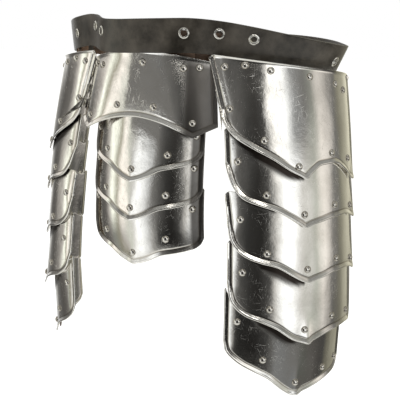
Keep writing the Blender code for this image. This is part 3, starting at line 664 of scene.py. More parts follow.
@dataclass
class Rim:
    """Rolled edge of a plate: how far it stands out by distance from the edge."""

    width: float = 6 * MM
    flare: float = 1.3 * MM
    bead: float = 0.55 * MM
    bead_width: float = 2.2 * MM
    groove: float = 0.3 * MM
    groove_width: float = 1 * MM

    def stand(self, distance: np.ndarray) -> np.ndarray:
        """Outward offset at distances from the edge."""
        t = np.clip((self.width - distance) / (self.width - self.bead_width * 0.6), 0, 1)
        raised = self.flare * t * t * (3 - 2 * t)
        round_part = 1 - ((distance - self.bead_width / 2) / (self.bead_width / 2)) ** 2
        return raised + self.bead * np.sqrt(np.clip(round_part, 0, 1)) - self.groove * self.line(distance)

    def line(self, distance: np.ndarray) -> np.ndarray:
        """Share of the groove along the inner side of the rim, where the steel also carries a painted line of
        shade.
        """
        return np.exp(-((distance - self.width) / self.groove_width) ** 2)


@dataclass
class Lip:
    """Turned upper edge of a plate."""

    width: float = 4 * MM
    flare: float = 2 * MM

    def stand(self, distance: np.ndarray) -> np.ndarray:
        """Outward offset at distances from the upper edge."""
        return self.flare * np.clip(1 - distance / self.width, 0, 1) ** 2


def distances(points: np.ndarray, line: np.ndarray) -> np.ndarray:
    """Distance of every point to a line of points."""
    start, step = line[:-1], line[1:] - line[:-1]
    flat = points.reshape(-1, 3)
    result = np.full(len(flat), 1.0)
    for a, d in zip(start, step):
        t = np.clip(((flat - a) @ d) / max(d @ d, 1e-12), 0, 1)
        result = np.minimum(result, np.linalg.norm(flat - a - t[:, None] * d, axis=1))
    return result.reshape(points.shape[:2])


@dataclass
class Plate:
    """One steel plate: a sheet between an upper and a lower edge, with rim, wall and rivets."""

    node: str
    wall: float = 1.2 * MM
    softness: float = 0.3 * MM
    corner: float = 5 * MM
    corner_spread: float = 1.3
    rim: Rim = field(default_factory=Rim)
    lip: Optional[Lip] = None
    curl: float = 0.0
    curl_width: float = 18 * MM
    keel: float = 0.0
    keel_width: float = 6 * MM
    keel_length: float = 48 * MM
    round_front: float = 0.0
    end_painted_shade: Row = (0.0, 1.0, 1.0)
    columns: int = 96
    end_columns: int = 13
    rows: tuple[int, int, int] = (20, 15, 6)
    end_zone: float = 9 * MM
    low_zone: float = 15 * MM
    top_zone: float = 5 * MM
    low_stop: float = 6 * MM
    top_stop: float = 3 * MM

    def span(self) -> float:
        """Half the plate's breadth, for spacing the columns."""
        raise NotImplementedError

    def column(self, share: float) -> tuple[float, float, Callable[[float], Vector]]:
        """Upper and lower edge heights at a share of the reach, and the point by share of the way down."""
        raise NotImplementedError

    def shares(self) -> np.ndarray:
        """Places of the columns, close together by the two ends."""
        fine = self.end_zone / self.span()
        ends = np.linspace(0, fine, self.end_columns)
        between = np.linspace(-1 + fine, 1 - fine, self.columns)[1:-1]
        return np.concatenate([-1 + ends, between, 1 - ends[::-1]])

    def shade(self, share: float, height: float) -> float:
        """Share of painted shade, as in the gap under the plate above; none unless a plate says otherwise."""
        return 0.0

    def sheet(self) -> tuple[np.ndarray, dict[str, np.ndarray]]:
        """Points of the sheet and its marks by name, before it is turned to its side."""
        columns, shades = [], []
        for share in self.shares():
            top, low, point = self.column(float(share))
            past = max(0.0, 1 - (1 - abs(share)) * self.span() / (self.corner_spread * self.corner))
            top -= self.corner * past * past
            if share < 0 and self.round_front:
                inside = max(0.0, self.round_front - (1 + share) * self.span())
                low += self.round_front - math.sqrt(self.round_front ** 2 - inside ** 2)
            full = top - low
            stops = [(rise, point(top, low, 1 - rise / full))
                     for rise in (self.low_stop, full / 2, full - self.top_stop)]
            columns.append([self.along(rise, stops) for rise in self.rises(full)])
            shades.append([self.shade(float(share), place.z) for place in columns[-1]])
        points = np.array(columns, dtype=float).transpose(1, 0, 2)
        across = np.gradient(points, axis=1)
        upward = np.gradient(points, axis=0)
        normals = np.cross(across, upward)
        normals /= np.linalg.norm(normals, axis=2, keepdims=True)
        edge = np.concatenate([points[::-1, 0], points[0], points[:, -1]])
        to_edge = distances(points, edge)
        # Marks of painted shade: along the groove inside the rim, and in the gaps and at the ends
        marks = {"groove": self.rim.line(to_edge), "gap_shade": np.array(shades).T}
        return points + normals * self.relief(points, to_edge)[:, :, None], marks

    def end_shade(self, share: float) -> float:
        """Painted shade by an end: its depth, and where it starts and how far it grows as shares of the reach.
        """
        depth, start, run = self.end_painted_shade
        return depth * ease((share - start) / run)

    def rises(self, full: float) -> np.ndarray:
        """Rises of a column's points over the lower edge, close together by both edges."""
        near_low = np.linspace(0, self.low_zone, self.rows[0])
        near_top = full - np.linspace(0, self.top_zone, self.rows[2])[::-1]
        between = np.linspace(near_low[-1], near_top[0], self.rows[1])[1:-1]
        return np.concatenate([near_low, between, near_top])

    def relief(self, points: np.ndarray, to_edge: np.ndarray) -> np.ndarray:
        """How far each point stands out for the rim, the upper lip, the curl of the front edge and the keel.

        Args:
            points: The sheet's points.
            to_edge: Distance of each from the lower edge and the ends.

        Returns:
            The outward offsets.
        """
        stand = self.rim.stand(to_edge)
        if self.lip:
            stand += self.lip.stand(distances(points, points[-1]))
        if self.curl:
            side = distances(points, points[:, 0])
            stand -= self.curl * np.clip(1 - side / self.curl_width, 0, 1) ** 2
        if self.keel:
            tip = points[0, int(np.argmin(points[0, :, 2]))]
            rise = points[:, :, 2] - tip[2]
            aside = np.linalg.norm((points - tip)[:, :, :2], axis=2)
            fade = np.clip(1 - rise / self.keel_length, 0, 1)
            stand += self.keel * np.exp(-(aside / self.keel_width) ** 2) * fade * fade * (3 - 2 * fade)
        return stand

    @staticmethod
    def along(rise: float, stops: list[tuple[float, Vector]]) -> Vector:
        """Point of a column by a parabola through three of its places."""
        (a, pa), (b, pb), (c, pc) = stops
        return (pa * ((rise - b) * (rise - c) / ((a - b) * (a - c)))
                + pb * ((rise - a) * (rise - c) / ((b - a) * (b - c)))
                + pc * ((rise - a) * (rise - b) / ((c - a) * (c - b))))

    def finish(self, points: np.ndarray, marks: dict[str, np.ndarray],
               rivets: list[tuple[Vector, Optional[str]]], kit: RivetKit, palette: Palette) -> None:
        """Args:
            points: The sheet's points.
            marks: Shares of the marks at each point.
            rivets: Places, and the strap that each holds.
            kit: The rivets.
            palette: The finishes.
        """
        made = grid_sheet(f"{self.node}_look", points)
        for name, values in marks.items():
            mark = made.data.attributes.new(name, "FLOAT", "POINT")
            mark.data.foreach_set("value", values.ravel().astype(np.float32))
        height = float(points[:, :, 2].max() - points[:, :, 2].min())
        corners = made.data.uv_layers.active.data
        places = np.empty(len(corners) * 2, dtype=np.float32)
        corners.foreach_get("uv", places)
        places = places.reshape(-1, 2) * np.array([2 * self.span(), height]) + abs(points[0, 0, 0]) * 7
        corners.foreach_set("uv", places.astype(np.float32).ravel())
        heads = []
        for target, strap in rivets:
            _, place, normal, _ = made.closest_point_on_mesh(target)
            if normal.dot(Vector((place.x, place.y, 0))) < 0:
                normal = -normal
            heads += kit.place(place, normal, bpy.data.objects.get(strap) if strap else None)
        tidy_mesh(made)
        finish_with(made, "SOLIDIFY", thickness=self.wall, offset=0, use_even_offset=True)
        round_edges(made, self.softness)
        tidy_mesh(made)
        join_all(made, heads)
        smooth(made, 45)
        dress(made, palette.steel)
        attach(made, "root")
        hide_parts(self.node)
        LOG.info("%s: %d faces, %d rivets", self.node, len(made.data.polygons), len(rivets))


@dataclass
class HipSurface:
    """The surface that a side set hangs on: two arcs in plan that meet at a ridge."""

    axis: Vector = field(default_factory=lambda: Vector((101.4 * MM, 0.6 * MM)))
    radius: float = 123 * MM
    turn: float = math.radians(53)
    sections: list[Row] = field(default_factory=lambda: sorted(HIP_SECTIONS))

    @property
    def degree(self) -> float:
        """Length of one degree along the surface."""
        return self.radius * math.radians(1)

    def point(self, across: float, height: float, inset: float = 0.0) -> Vector:
        """Place on the wearer's left side by degrees from the ridge and height."""
        front, rear, ridge = (value * MM for value in read_smooth(self.sections, height / MM))
        radius = front if across < 0 else rear
        ahead = Vector((math.sin(self.turn), -math.cos(self.turn)))
        angle = self.turn + across * self.degree / radius
        out = Vector((math.sin(angle), -math.cos(angle)))
        place = self.axis + ahead * (self.radius + ridge - radius) + out * (radius - inset)
        return Vector((place.x, place.y, height))


@dataclass
class SideLame(Plate):
    """One lame of a side set."""

    index: int = 0
    side: Side = Side.LEFT
    pitch: float = 70 * MM
    lap: float = LAP
    nest: float = NEST
    top_height: float = -32 * MM
    top_fall: float = 0.244 * MM
    half_breadth: float = 50
    curl: float = 3 * MM
    keel: float = 1.9 * MM
    first_round: float = 21 * MM
    gap_roundness: float = 0.7
    gap_strength: float = 2.0
    gap_least: float = 0.1 * MM

    # Each lame: height of its point, degrees from the ridge to its point, to its front edge at the top and at
    # the bottom and to its rear edge, and the share past which its front top edge is level
    REACHES = [
        (-167 * MM, 0, 53.5, 48.5, 55, 1.0),
        (-228 * MM, 0, 47.2, 47.2, 55, 0.93),
        (-299 * MM, 3, 48.5, 46.5, 56, 0.79),
        (-379 * MM, 3, 47.0, 46.5, 54, 0.92),
        (-457 * MM, 1, 46.5, 45.8, 45, 0.985),
    ]
    # Rivets of each lame: degrees from the ridge, then rise over the point as shares of the pitch
    ACROSS = [
        (-43.0, -24.0, -4.5, 20.0, 41.0),
        (-40.0, -23.5, -0.8, 22.8, 47.0),
        (-39.0, -23.0, 2.0, 26.0, 50.0),
        (-37.5, -21.0, 0.8, 23.0, 44.5),
        (-38.0, -21.5, 0.0, 22.8, 38.8),
    ]
    RISE = [
        (1.19, 0.67, 0.22, 0.41, 0.24),
        (1.16, 0.60, 0.24, 0.34, 0.20),
        (1.16, 0.57, 0.25, 0.34, 0.17),
        (1.34, 0.69, 0.27, 0.40, 0.31),
        (1.51, 0.77, 0.26, 0.39, 0.44),
    ]
    # Painted shade in the gap under the lame above: breadth in millimetres, then where it starts and ends as
    # shares of the reach
    GAPS = [None, (19, -0.92, 0.0), (8, -0.92, -0.35), (20, -0.72, -0.02), (19, -0.68, 0.02)]
    # Rivets along the top of the first lame: degrees from the ridge, millimetres under the top, strap or 0
    TOP_ROW = [(-44.5, 13, 0), (-32.7, 7.5, 0), (-18.5, 10, 1), (5.3, 11.5, 2), (27.1, 16, 3), (38.0, 22, 0)]

    def __post_init__(self) -> None:
        """Gives the first lame its turned upper edge and the round lower corner in front."""
        if self.index == 0:
            self.lip = Lip()
            self.round_front = self.first_round

    def surface(self) -> HipSurface:
        """Surface of this lame, the last one having its own."""
        return HipSurface(sections=sorted(LAST_SECTIONS)) if self.index == 4 else HipSurface()

    def edge_at(self, index: int, share: float) -> float:
        """Height of a lame's lower edge at a share of its reach."""
        return self.REACHES[index][0] + self.pitch * read_smooth(EDGE_RISE, share)[index]

    def edge(self, index: int, across: float) -> float:
        """Height of a lame's lower edge at some degrees from the ridge."""
        _, tip_across, _, front_low, rear, _ = self.REACHES[index]
        past = across - tip_across
        return self.edge_at(index, past / (rear - tip_across if past > 0 else front_low + tip_across))

    def top(self, across: float) -> float:
        """Height of this lame's upper edge."""
        if self.index == 0:
            return self.top_height - self.top_fall * across
        above = self.edge(self.index - 1, across)
        level = self.edge_at(self.index - 1, -self.REACHES[self.index][5])
        return (min(above, level) if across < 0 else above) + self.lap

    def point(self, across: float, height: float, inset: float = 0.0) -> Vector:
        """Middle surface, tucked in towards its top so that the lame above passes over it."""
        tuck = 0.0
        if self.index in (1, 2, 3):
            tuck = self.nest * max(height - self.edge(self.index, across), 0.0)
        return self.surface().point(across, height, inset + tuck)

    def shade(self, share: float, height: float) -> float:
        """Painted shade in the gap under the lame above."""
        if not self.GAPS[self.index]:
            return 0.0
        breadth, start, end = self.GAPS[self.index]
        _, tip_across, front_top, _, rear, _ = self.REACHES[self.index]
        across = tip_across + share * (front_top + tip_across if share < 0 else rear - tip_across)
        _, above_tip, _, above_low, _, _ = self.REACHES[self.index - 1]
        place = (across - above_tip) / (above_low + above_tip)
        if not start < place < end:
            return 0.0
        reach = breadth * MM * math.sin(math.pi * (place - start) / (end - start)) ** self.gap_roundness
        under = self.edge(self.index - 1, across) - height
        return ease(self.gap_strength * (1 - under / max(reach, self.gap_least)))

    def span(self) -> float:
        """Half the lame's breadth."""
        return self.half_breadth * HipSurface().degree

    def column(self, share: float) -> tuple[float, float, Callable]:
        """Upper and lower edge heights and the points between them."""
        _, tip_across, front_top, front_low, rear, _ = self.REACHES[self.index]
        reach_top = front_top + tip_across if share < 0 else rear - tip_across
        reach_low = front_low + tip_across if share < 0 else rear - tip_across

        def point(top: float, low: float, down: float) -> Vector:
            """Place by share of the way down."""
            across = tip_across + share * blend(reach_top, reach_low, down)
            return self.point(across, blend(top, low, down))

        return self.top(tip_across + share * reach_top), self.edge_at(self.index, share), point

    def build(self, kit: RivetKit, palette: Palette) -> None:
        """The lame with its rivets."""
        points, marks = self.sheet()
        rivets = []
        for number, (across, rise) in enumerate(zip(self.ACROSS[self.index], self.RISE[self.index])):
            strap = f"{self.side.word}_strap_{number}" if 1 <= number <= 3 else None
            rivets.append((self.point(across, self.REACHES[self.index][0] + rise * self.pitch), strap))
        for across, under, held in self.TOP_ROW if self.index == 0 else []:
            strap = f"{self.side.word}_strap_{held}" if held else None
            rivets.append((self.point(across, self.top(across) - under * MM), strap))
        rivets = [(Vector((place.x * self.side.value, place.y, place.z)), strap) for place, strap in rivets]
        self.finish(self.side.mirror(points), marks, rivets, kit, palette)


@dataclass
class FrontPlate(Plate):
    """The wide two-pointed plate under the belt, flat in front and turning back towards both ends."""

    top_height: float = -16 * MM
    top_drop: float = 14.5 * MM
    top_y: float = -145 * MM
    lean: float = 7 * MM
    span_down: float = 85 * MM
    span_start: float = -23 * MM
    top_half: float = 92 * MM
    low_half: float = 102.5 * MM
    setback: float = 33.5 * MM
    bends: tuple[float, float] = (86.5 * MM, 105 * MM)
    powers: tuple[float, float] = (2.4, 3.8)
    point_x: float = 80 * MM
    middle_height: float = -98.3 * MM
    point_drop: float = 21.7 * MM
    end_rise: float = 13 * MM
    drop_limit: float = 1.3
    edge_power: float = 1.9
    top_power: float = 1.7
    lip: Optional[Lip] = field(default_factory=lambda: Lip(5 * MM, 1.8 * MM))
    # Painted shade by the wearer's left end: depth, start and run as shares of the reach
    end_painted_shade: Row = (0.88, 0.58, 0.14)
    bare_top: float = 7 * MM

    # x and height in millimetres, whether it holds a strap, whether it stands on both sides
    RIVETS = [
        (9, -31, False, False),
        (61, -37, True, True),
        (77, -36, False, True),
        (27.5, -85, False, True),
        (78, -102, False, True),
    ]

    def point(self, x: float, height: float, inset: float = 0.0) -> Vector:
        """Middle surface."""
        drop = min(max((self.span_start - height) / self.span_down, 0.0), self.drop_limit)
        power = blend(*self.powers, drop)
        reach = blend(*self.bends, drop)
        y = self.top_y - self.lean * drop + self.setback * abs(x / reach) ** power
        slope = math.copysign(self.setback * power / reach * abs(x / reach) ** (power - 1), x)
        return Vector((x, y, height)) + Vector((-slope, 1, 0)).normalized() * inset

    def edge(self, x: float) -> float:
        """Height of the lower edge."""
        if abs(x) <= self.point_x:
            return self.middle_height - self.point_drop * abs(x / self.point_x) ** self.edge_power
        past = min((abs(x) - self.point_x) / (self.low_half - self.point_x), 1.0)
        return self.middle_height - self.point_drop + self.end_rise * past

    def top(self, x: float) -> float:
        """Height of the upper edge."""
        return self.top_height - self.top_drop * abs(x / self.top_half) ** self.top_power

    def shade(self, share: float, height: float) -> float:
        """Painted shade at the wearer's left end, which faces the edge of the side set, but not on the upper
        lip.
        """
        under = self.top(share * self.top_half) - height
        return self.end_shade(share) * ease(under / self.bare_top)

    def span(self) -> float:
        """Half the plate's breadth."""
        return self.low_half

    def column(self, share: float) -> tuple[float, float, Callable]:
        """Upper and lower edge heights and the points between them."""
        def point(top: float, low: float, down: float) -> Vector:
            """Place by share of the way down."""
            return self.point(share * blend(self.top_half, self.low_half, down), blend(top, low, down))

        return self.top(share * self.top_half), self.edge(share * self.low_half), point

    def build(self, kit: RivetKit, palette: Palette) -> None:
        """The plate with its rivets."""
        points, marks = self.sheet()
        rivets = []
        for x, height, held, both in self.RIVETS:
            for sign, strap in FRONT_STRAPS[:2 if both else 1]:
                rivets.append((self.point(x * sign * MM, height * MM), strap if held else None))
        self.finish(points, marks, rivets, kit, palette)


@dataclass
class FrontLame(Plate):
    """One of the three narrower lames that hang from the front plate."""

    index: int = 0
    radius: float = 108 * MM
    rise: float = 40 * MM
    lap: float = LAP
    nest: float = NEST
    keel: float = 0.8 * MM
    # Painted shade by both ends: depth, start and run as shares of the reach
    end_painted_shade: Row = (0.85, 0.79, 0.06)

    # Painted shade under each point of the front plate: place along the arc, breadth, depth and strength
    POINT_PAINTED_SHADE = (66 * MM, 14 * MM, 11 * MM, 1.3)
    # Height of the point and half the breadth of each lame
    SIZES = [(-180 * MM, 94 * MM), (-230 * MM, 95 * MM), (-290 * MM, 98 * MM)]
    # Distance from the middle, rise over the point of each lame, and whether it holds a strap
    RIVETS = [(0, (16, 16.4, 16), False), (48, (36.5, 36, 39), True), (83, (60, 70, 78), False)]

    def edge(self, index: int, arc: float) -> float:
        """Height of a lame's lower edge at a distance along its arc."""
        tip, half = self.SIZES[index]
        return tip + self.rise * read_smooth(FRONT_EDGE_RISE, abs(arc) / half)[0]

    def top(self, arc: float) -> float:
        """Height of the upper edge."""
        above = FrontPlate("front_plate").edge(arc) if self.index == 0 else self.edge(self.index - 1, arc)
        return above + self.lap

    def point(self, arc: float, height: float) -> Vector:
        """Middle surface, tucked in towards its top."""
        y = read_smooth(sorted(FRONT_SECTIONS), height / MM)[0] * MM
        angle = arc / self.radius
        reach = self.radius - self.nest * max(height - self.edge(self.index, arc), 0.0)
        return Vector((reach * math.sin(angle), y + self.radius - reach * math.cos(angle), height))

    def shade(self, share: float, height: float) -> float:
        """Painted shade at both ends, which turn in towards the legs, and in the gaps under the points of the
        front plate.
        """
        ends = self.end_shade(abs(share))
        if self.index:
            return ends
        arc = abs(share) * self.span()
        under = FrontPlate("front_plate").edge(arc) - height
        place, breadth, depth, strength = self.POINT_PAINTED_SHADE
        point = math.exp(-((arc - place) / breadth) ** 2)
        return max(ends, ease(strength * (1 - under / depth)) * point)

    def span(self) -> float:
        """Half the lame's breadth."""
        return self.SIZES[self.index][1]

    def column(self, share: float) -> tuple[float, float, Callable]:
        """Upper and lower edge heights and the points between them."""
        arc = share * self.span()

        def point(top: float, low: float, down: float) -> Vector:
            """Place by share of the way down."""
            return self.point(arc, blend(top, low, down))

        return self.top(arc), self.edge(self.index, arc), point

    def build(self, kit: RivetKit, palette: Palette) -> None:
        """The lame with its rivets."""
        points, marks = self.sheet()
        rivets = []
        for arc, rises, held in self.RIVETS:
            for sign, strap in FRONT_STRAPS if arc else ((1, None),):
                place = self.point(arc * sign * MM, self.SIZES[self.index][0] + rises[self.index] * MM)
                rivets.append((place, strap if held else None))
        self.finish(points, marks, rivets, kit, palette)


# Belt


@dataclass
class Belt:
    """The waist belt: one strap in a smooth loop, its ends lapped at the back, with eyelets and a stud."""

    height: float = 41 * MM
    wall: float = 3 * MM
    lap: float = 60 * MM
    ramp: float = 60 * MM
    lap_gap: float = 0.6 * MM
    flat: float = 8 * MM
    half_width: float = 196 * MM
    depth: float = 146 * MM
    hole: float = 4.1 * MM
    eyelet_wall: float = 0.8 * MM
    flange: float = 6.6 * MM
    stud_hole: float = 2.8 * MM
    clearance: float = 0.3 * MM
    softness: float = 0.7 * MM
    backing_wall: float = 1.2 * MM
    backing_softness: float = 0.3 * MM
    eyelet_face: float = 1 * MM
    pace: float = 4.5 * MM
    edge_fall: float = 0.25 * MM
    steps: int = 10
    hole_sides: int = 32
    eyelet_sides: int = 36
    stud_sides: int = 32

    # Leather behind the belt in front: rise over its middle and depth behind it in millimetres, then its ends
    # in degrees from the middle of the front
    BACKING = [(6, 2.4), (0, 2.5), (-4, 4.6), (-8.5, 8.6), (-14, 9.6), (-23, 9.8), (-32, 9.8)]
    BACKING_ENDS = (-48, 50)
    # Face of an eyelet: millimetres out from the hole and from the flange's edge, and share of its height
    EYELET_ROLL = [(0.2, 0.75), (0.8, 1.0), (1.5, 0.8)]
    EYELET_BRIM = [(-0.35, 0.3), (0, 0.1)]
    # The stud's foot and head in millimetres: radius, and how far it stands off the leather
    STUD_FOOT = [(0, 1.8), (5.5, 1.8), (7, 1.2), (7, 0), (2.5, 0)]
    STUD_HEAD = [(2.5, 0), (7, 0), (6.6, 0.7), (5.2, 1.3), (2.9, 1.7), (0, 1.8)]

    def __post_init__(self) -> None:
        """Lays the middle line."""
        self.line = self.rounded([self.anchor(*row) for row in BELT_ROUTE])
        self.run = [0.0]
        for here, following in zip(self.line, self.line[1:] + self.line[:1]):
            self.run.append(self.run[-1] + math.dist(here[:2], following[:2]))
        self.length = self.run[-1]
        self.front = next(self.run[k] for k in range(1, len(self.line))
                          if self.line[k][0] >= 0 > self.line[k][1])

    def anchor(self, against: str, across: float, stand_off: float, height: float,
               lean: float) -> list[float]:
        """Plan place, height and lean of one row of the route."""
        if against == "back":
            angle = across * math.pi / 2
            x, y = -self.half_width * math.sin(angle), self.depth * math.cos(angle)
        elif against == "front":
            plate = FrontPlate("front_plate")
            x, y, _ = plate.point(across * MM, plate.top_height, -stand_off * MM)
        else:
            lame = SideLame("left_lame_1")
            x, y, _ = lame.point(across, lame.top(across), -stand_off * MM)
            x = -x if against == "right" else x
        return [x, y, height * MM, math.radians(lean)]

    def rounded(self, knots: list[list[float]]) -> list[list[float]]:
        """Points along a closed curve through the knots."""
        count = len(knots)
        gaps = [math.dist(knots[k][:2], knots[(k + 1) % count][:2]) for k in range(count)]
        slopes = []
        for k in range(count):
            before, after = gaps[k - 1], gaps[k]
            slopes.append([
                ((here - last) / before * after + (following - here) / after * before) / (before + after)
                for last, here, following in zip(knots[k - 1], knots[k], knots[(k + 1) % count])])
        points = []
        for k in range(count):
            rows = list(zip(knots[k], knots[(k + 1) % count], slopes[k], slopes[(k + 1) % count]))
            for step in range(self.steps):
                t = step / self.steps
                rise = t * t * (3 - 2 * t)
                points.append([blend(a, b, rise) + gaps[k] * (t * (1 - t) ** 2 * m - t * t * (1 - t) * n)
                               for a, b, m, n in rows])
        return points

    def at(self, distance: float) -> tuple[Vector, Vector, Vector]:
        """Middle place, outward normal and upward direction at a distance from the middle of the front."""
        run = (distance + self.front) % self.length
        k = next(k for k in range(len(self.line)) if self.run[k + 1] >= run)
        here, following = self.line[k], self.line[(k + 1) % len(self.line)]
        share = (run - self.run[k]) / (self.run[k + 1] - self.run[k])
        x, y, height, lean = [blend(a, b, share) for a, b in zip(here, following)]
        along = Vector((following[0] - here[0], following[1] - here[1], 0)).normalized()
        out = Vector((along.y, -along.x, 0))
        up = Vector((0, 0, math.cos(lean))) + out * math.sin(lean)
        return Vector((x, y, height)), along.cross(up).normalized(), up

    def smooth_at(self, distance: float) -> tuple[Vector, Vector, Vector]:
        """The same as at, averaged over a short stretch."""
        rows = [self.at(distance + step * MM) for step in (-6, -3, 0, 3, 6)]
        place, normal, up = (sum((row[k] for row in rows), Vector()) / len(rows) for k in range(3))
        return place, normal.normalized(), up.normalized()

    def lift(self, distance: float) -> float:
        """How far the outer end stands off where it laps over the inner end."""
        past = distance - (self.length / 2 - self.lap / 2 - self.flat - self.ramp)
        return (self.wall + self.lap_gap) * min(max(past / self.ramp, 0.0), 1.0)

    def patch(self, distance: float) -> tuple[Vector, Vector, Vector]:
        """Middle, way along and upward direction of the belt's flat patch round a distance."""
        ends = []
        for step in (-self.flat, self.flat):
            place, normal, _ = self.at(distance + step)
            ends.append(place + normal * self.lift(distance + step))
        up = (self.at(distance - self.flat)[2] + self.at(distance + self.flat)[2]).normalized()
        along = (ends[1] - ends[0]) / 2
        square = (up - along * up.dot(along) / along.length_squared).normalized()
        return (ends[0] + ends[1]) / 2, along, square

    def towards(self, direction: float) -> float:
        """Distance along the belt to the place that lies in a direction from the origin."""
        nearest = min(range(len(self.line)),
                      key=lambda k: abs(math.atan2(self.line[k][0], -self.line[k][1]) - direction))
        distance = self.run[nearest] - self.front
        for _ in range(4):
            place = self.at(distance)[0]
            distance += (direction - math.atan2(place.x, -place.y)) * place.to_2d().length
        return distance

    def build(self, palette: Palette) -> None:
        """The strap with its holes."""
        start, end = -self.length / 2 - self.lap / 2, self.length / 2 + self.lap / 2
        near_edge = np.linspace(0.42, 0.5, 3)
        rises = np.concatenate([-near_edge[::-1], np.linspace(-0.3, 0.3, 5), near_edge])
        columns = []
        for distance in np.linspace(start, end, round((end - start) / self.pace)):
            place, normal, up = self.smooth_at(distance)
            lift = self.lift(distance)
            columns.append([
                place + up * rise * self.height + normal * (lift - self.edge_fall * abs(2 * rise) ** 6)
                for rise in rises])
        made = grid_sheet("belt_look", np.array(columns, dtype=float).transpose(1, 0, 2))
        tidy_mesh(made)
        finish_with(made, "SOLIDIFY", thickness=self.wall, offset=0, use_even_offset=True)
        cutters = []
        for distance, radius, rise in self.holes():
            middle, along, up = self.patch(distance)
            cutter = primitive(bpy.ops.mesh.primitive_cylinder_add, vertices=self.hole_sides, radius=radius,
                               depth=self.wall + self.lap_gap)
            cutter.data.transform(facing(middle + up * rise, along.cross(up)))
            cutters.append(cutter)
        for cutter in cutters:
            finish_with(made, "BOOLEAN", operation="DIFFERENCE", solver="EXACT", object=cutter)
            bpy.data.objects.remove(cutter, do_unlink=True)
        round_edges(made, self.softness, segments=3)
        smooth(made, 50)
        dress(made, palette.leather)
        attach(made, "root")
        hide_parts("belt")
        LOG.info("belt: %d faces", len(made.data.polygons))

    def holes(self) -> list[tuple[float, float, float]]:
        """Distance, radius and rise of every hole."""
        radius = self.hole + self.eyelet_wall + self.clearance
        rows = [(self.towards(math.radians(direction)), radius, rise * MM) for direction, rise in EYELETS]
        return rows + [(side * self.length / 2, self.stud_hole, 0.0) for side in (-1, 1)]

    def build_eyelets(self, palette: Palette) -> None:
        """The eyelets: one modelled as a rolled tube with two flanges, and copied."""
        tube, near = self.hole + self.eyelet_wall, self.wall / 2 + self.clearance
        profile = [(self.hole, 0), (self.hole, near)]
        for base, curve in ((self.hole, self.EYELET_ROLL), (self.flange, self.EYELET_BRIM)):
            profile += [(base + out * MM, near + share * self.eyelet_face) for out, share in curve]
        profile += [(self.flange, near), (tube, near), (tube, 0)]
        below = [(radius, -height) for radius, height in profile[1:-1]][::-1]
        model = turned("eyelet_model", profile + below, self.eyelet_sides)
        for number, (direction, rise) in enumerate(EYELETS):
            middle, along, up = self.patch(self.towards(math.radians(direction)))
            stand = facing(middle + up * rise * MM, along.cross(up))
            made = copy_of(model, f"eyelet_{number + 1}_look", stand)
            smooth(made, 50)
            dress(made, palette.nickel)
            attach(made, "root")
            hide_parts(f"eyelet_{number + 1}")
        bpy.data.objects.remove(model, do_unlink=True)
        LOG.info("eyelets: %d", len(EYELETS))

    def build_backing(self, palette: Palette) -> None:
        """The leather that shows in the gaps between the belt and the tops of the plates in front."""
        start, end = (self.towards(math.radians(direction)) for direction in self.BACKING_ENDS)
        columns = []
        for distance in np.linspace(start, end, 60):
            place, normal, up = self.smooth_at(distance)
            columns.append([place + up * rise * MM - normal * inward * MM for rise, inward in self.BACKING])
        made = grid_sheet("backing_leather", np.array(columns, dtype=float).transpose(1, 0, 2))
        tidy_mesh(made)
        finish_with(made, "SOLIDIFY", thickness=self.backing_wall, offset=0)
        round_edges(made, self.backing_softness)
        smooth(made, 50)
        dress(made, palette.strap)
        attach(made, "root")

    def build_stud(self, palette: Palette) -> None:
        """The stud that holds the lapped ends."""
        inner, outer = (self.patch(side * self.length / 2)[0] for side in (-1, 1))
        far = self.wall / 2 + self.clearance
        across = (outer - inner).length + far
        profile = [(radius * MM, -far - off * MM) for radius, off in self.STUD_FOOT]
        profile += [(radius * MM, across + off * MM) for radius, off in self.STUD_HEAD]
        made = turned("belt_stud_look", profile, self.stud_sides)
        made.data.transform(facing(inner, outer - inner))
        smooth(made, 40)
        dress(made, palette.nickel)
        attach(made, "root")
        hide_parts("belt_stud")


@dataclass
class HiddenStraps:
    """The leather straps inside the plates, from their solids, with softened edges."""

    nodes: tuple[str, ...] = tuple([f"{side.word}_strap_{n}" for side in Side for n in (1, 2, 3)]
                                   + [strap for _, strap in FRONT_STRAPS])
    softness: float = 0.45 * MM

    def build(self, palette: Palette) -> None:
        """Softens and dresses each strap."""
        for node in self.nodes:
            source = bpy.data.objects[node]
            made = copy_of(source, f"{node}_look", Matrix.Identity(4))
            tidy_mesh(made)
            bpy.ops.object.mode_set(mode="EDIT")
            bpy.ops.mesh.select_all(action="SELECT")
            bpy.ops.mesh.dissolve_limited(angle_limit=math.radians(0.5))
            bpy.ops.object.mode_set(mode="OBJECT")
            round_edges(made, self.softness, angle=60)
            smooth(made, 35)
            dress(made, palette.strap)
            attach(made, "root")
            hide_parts(node)
        LOG.info("straps: %d", len(self.nodes))


# Studio


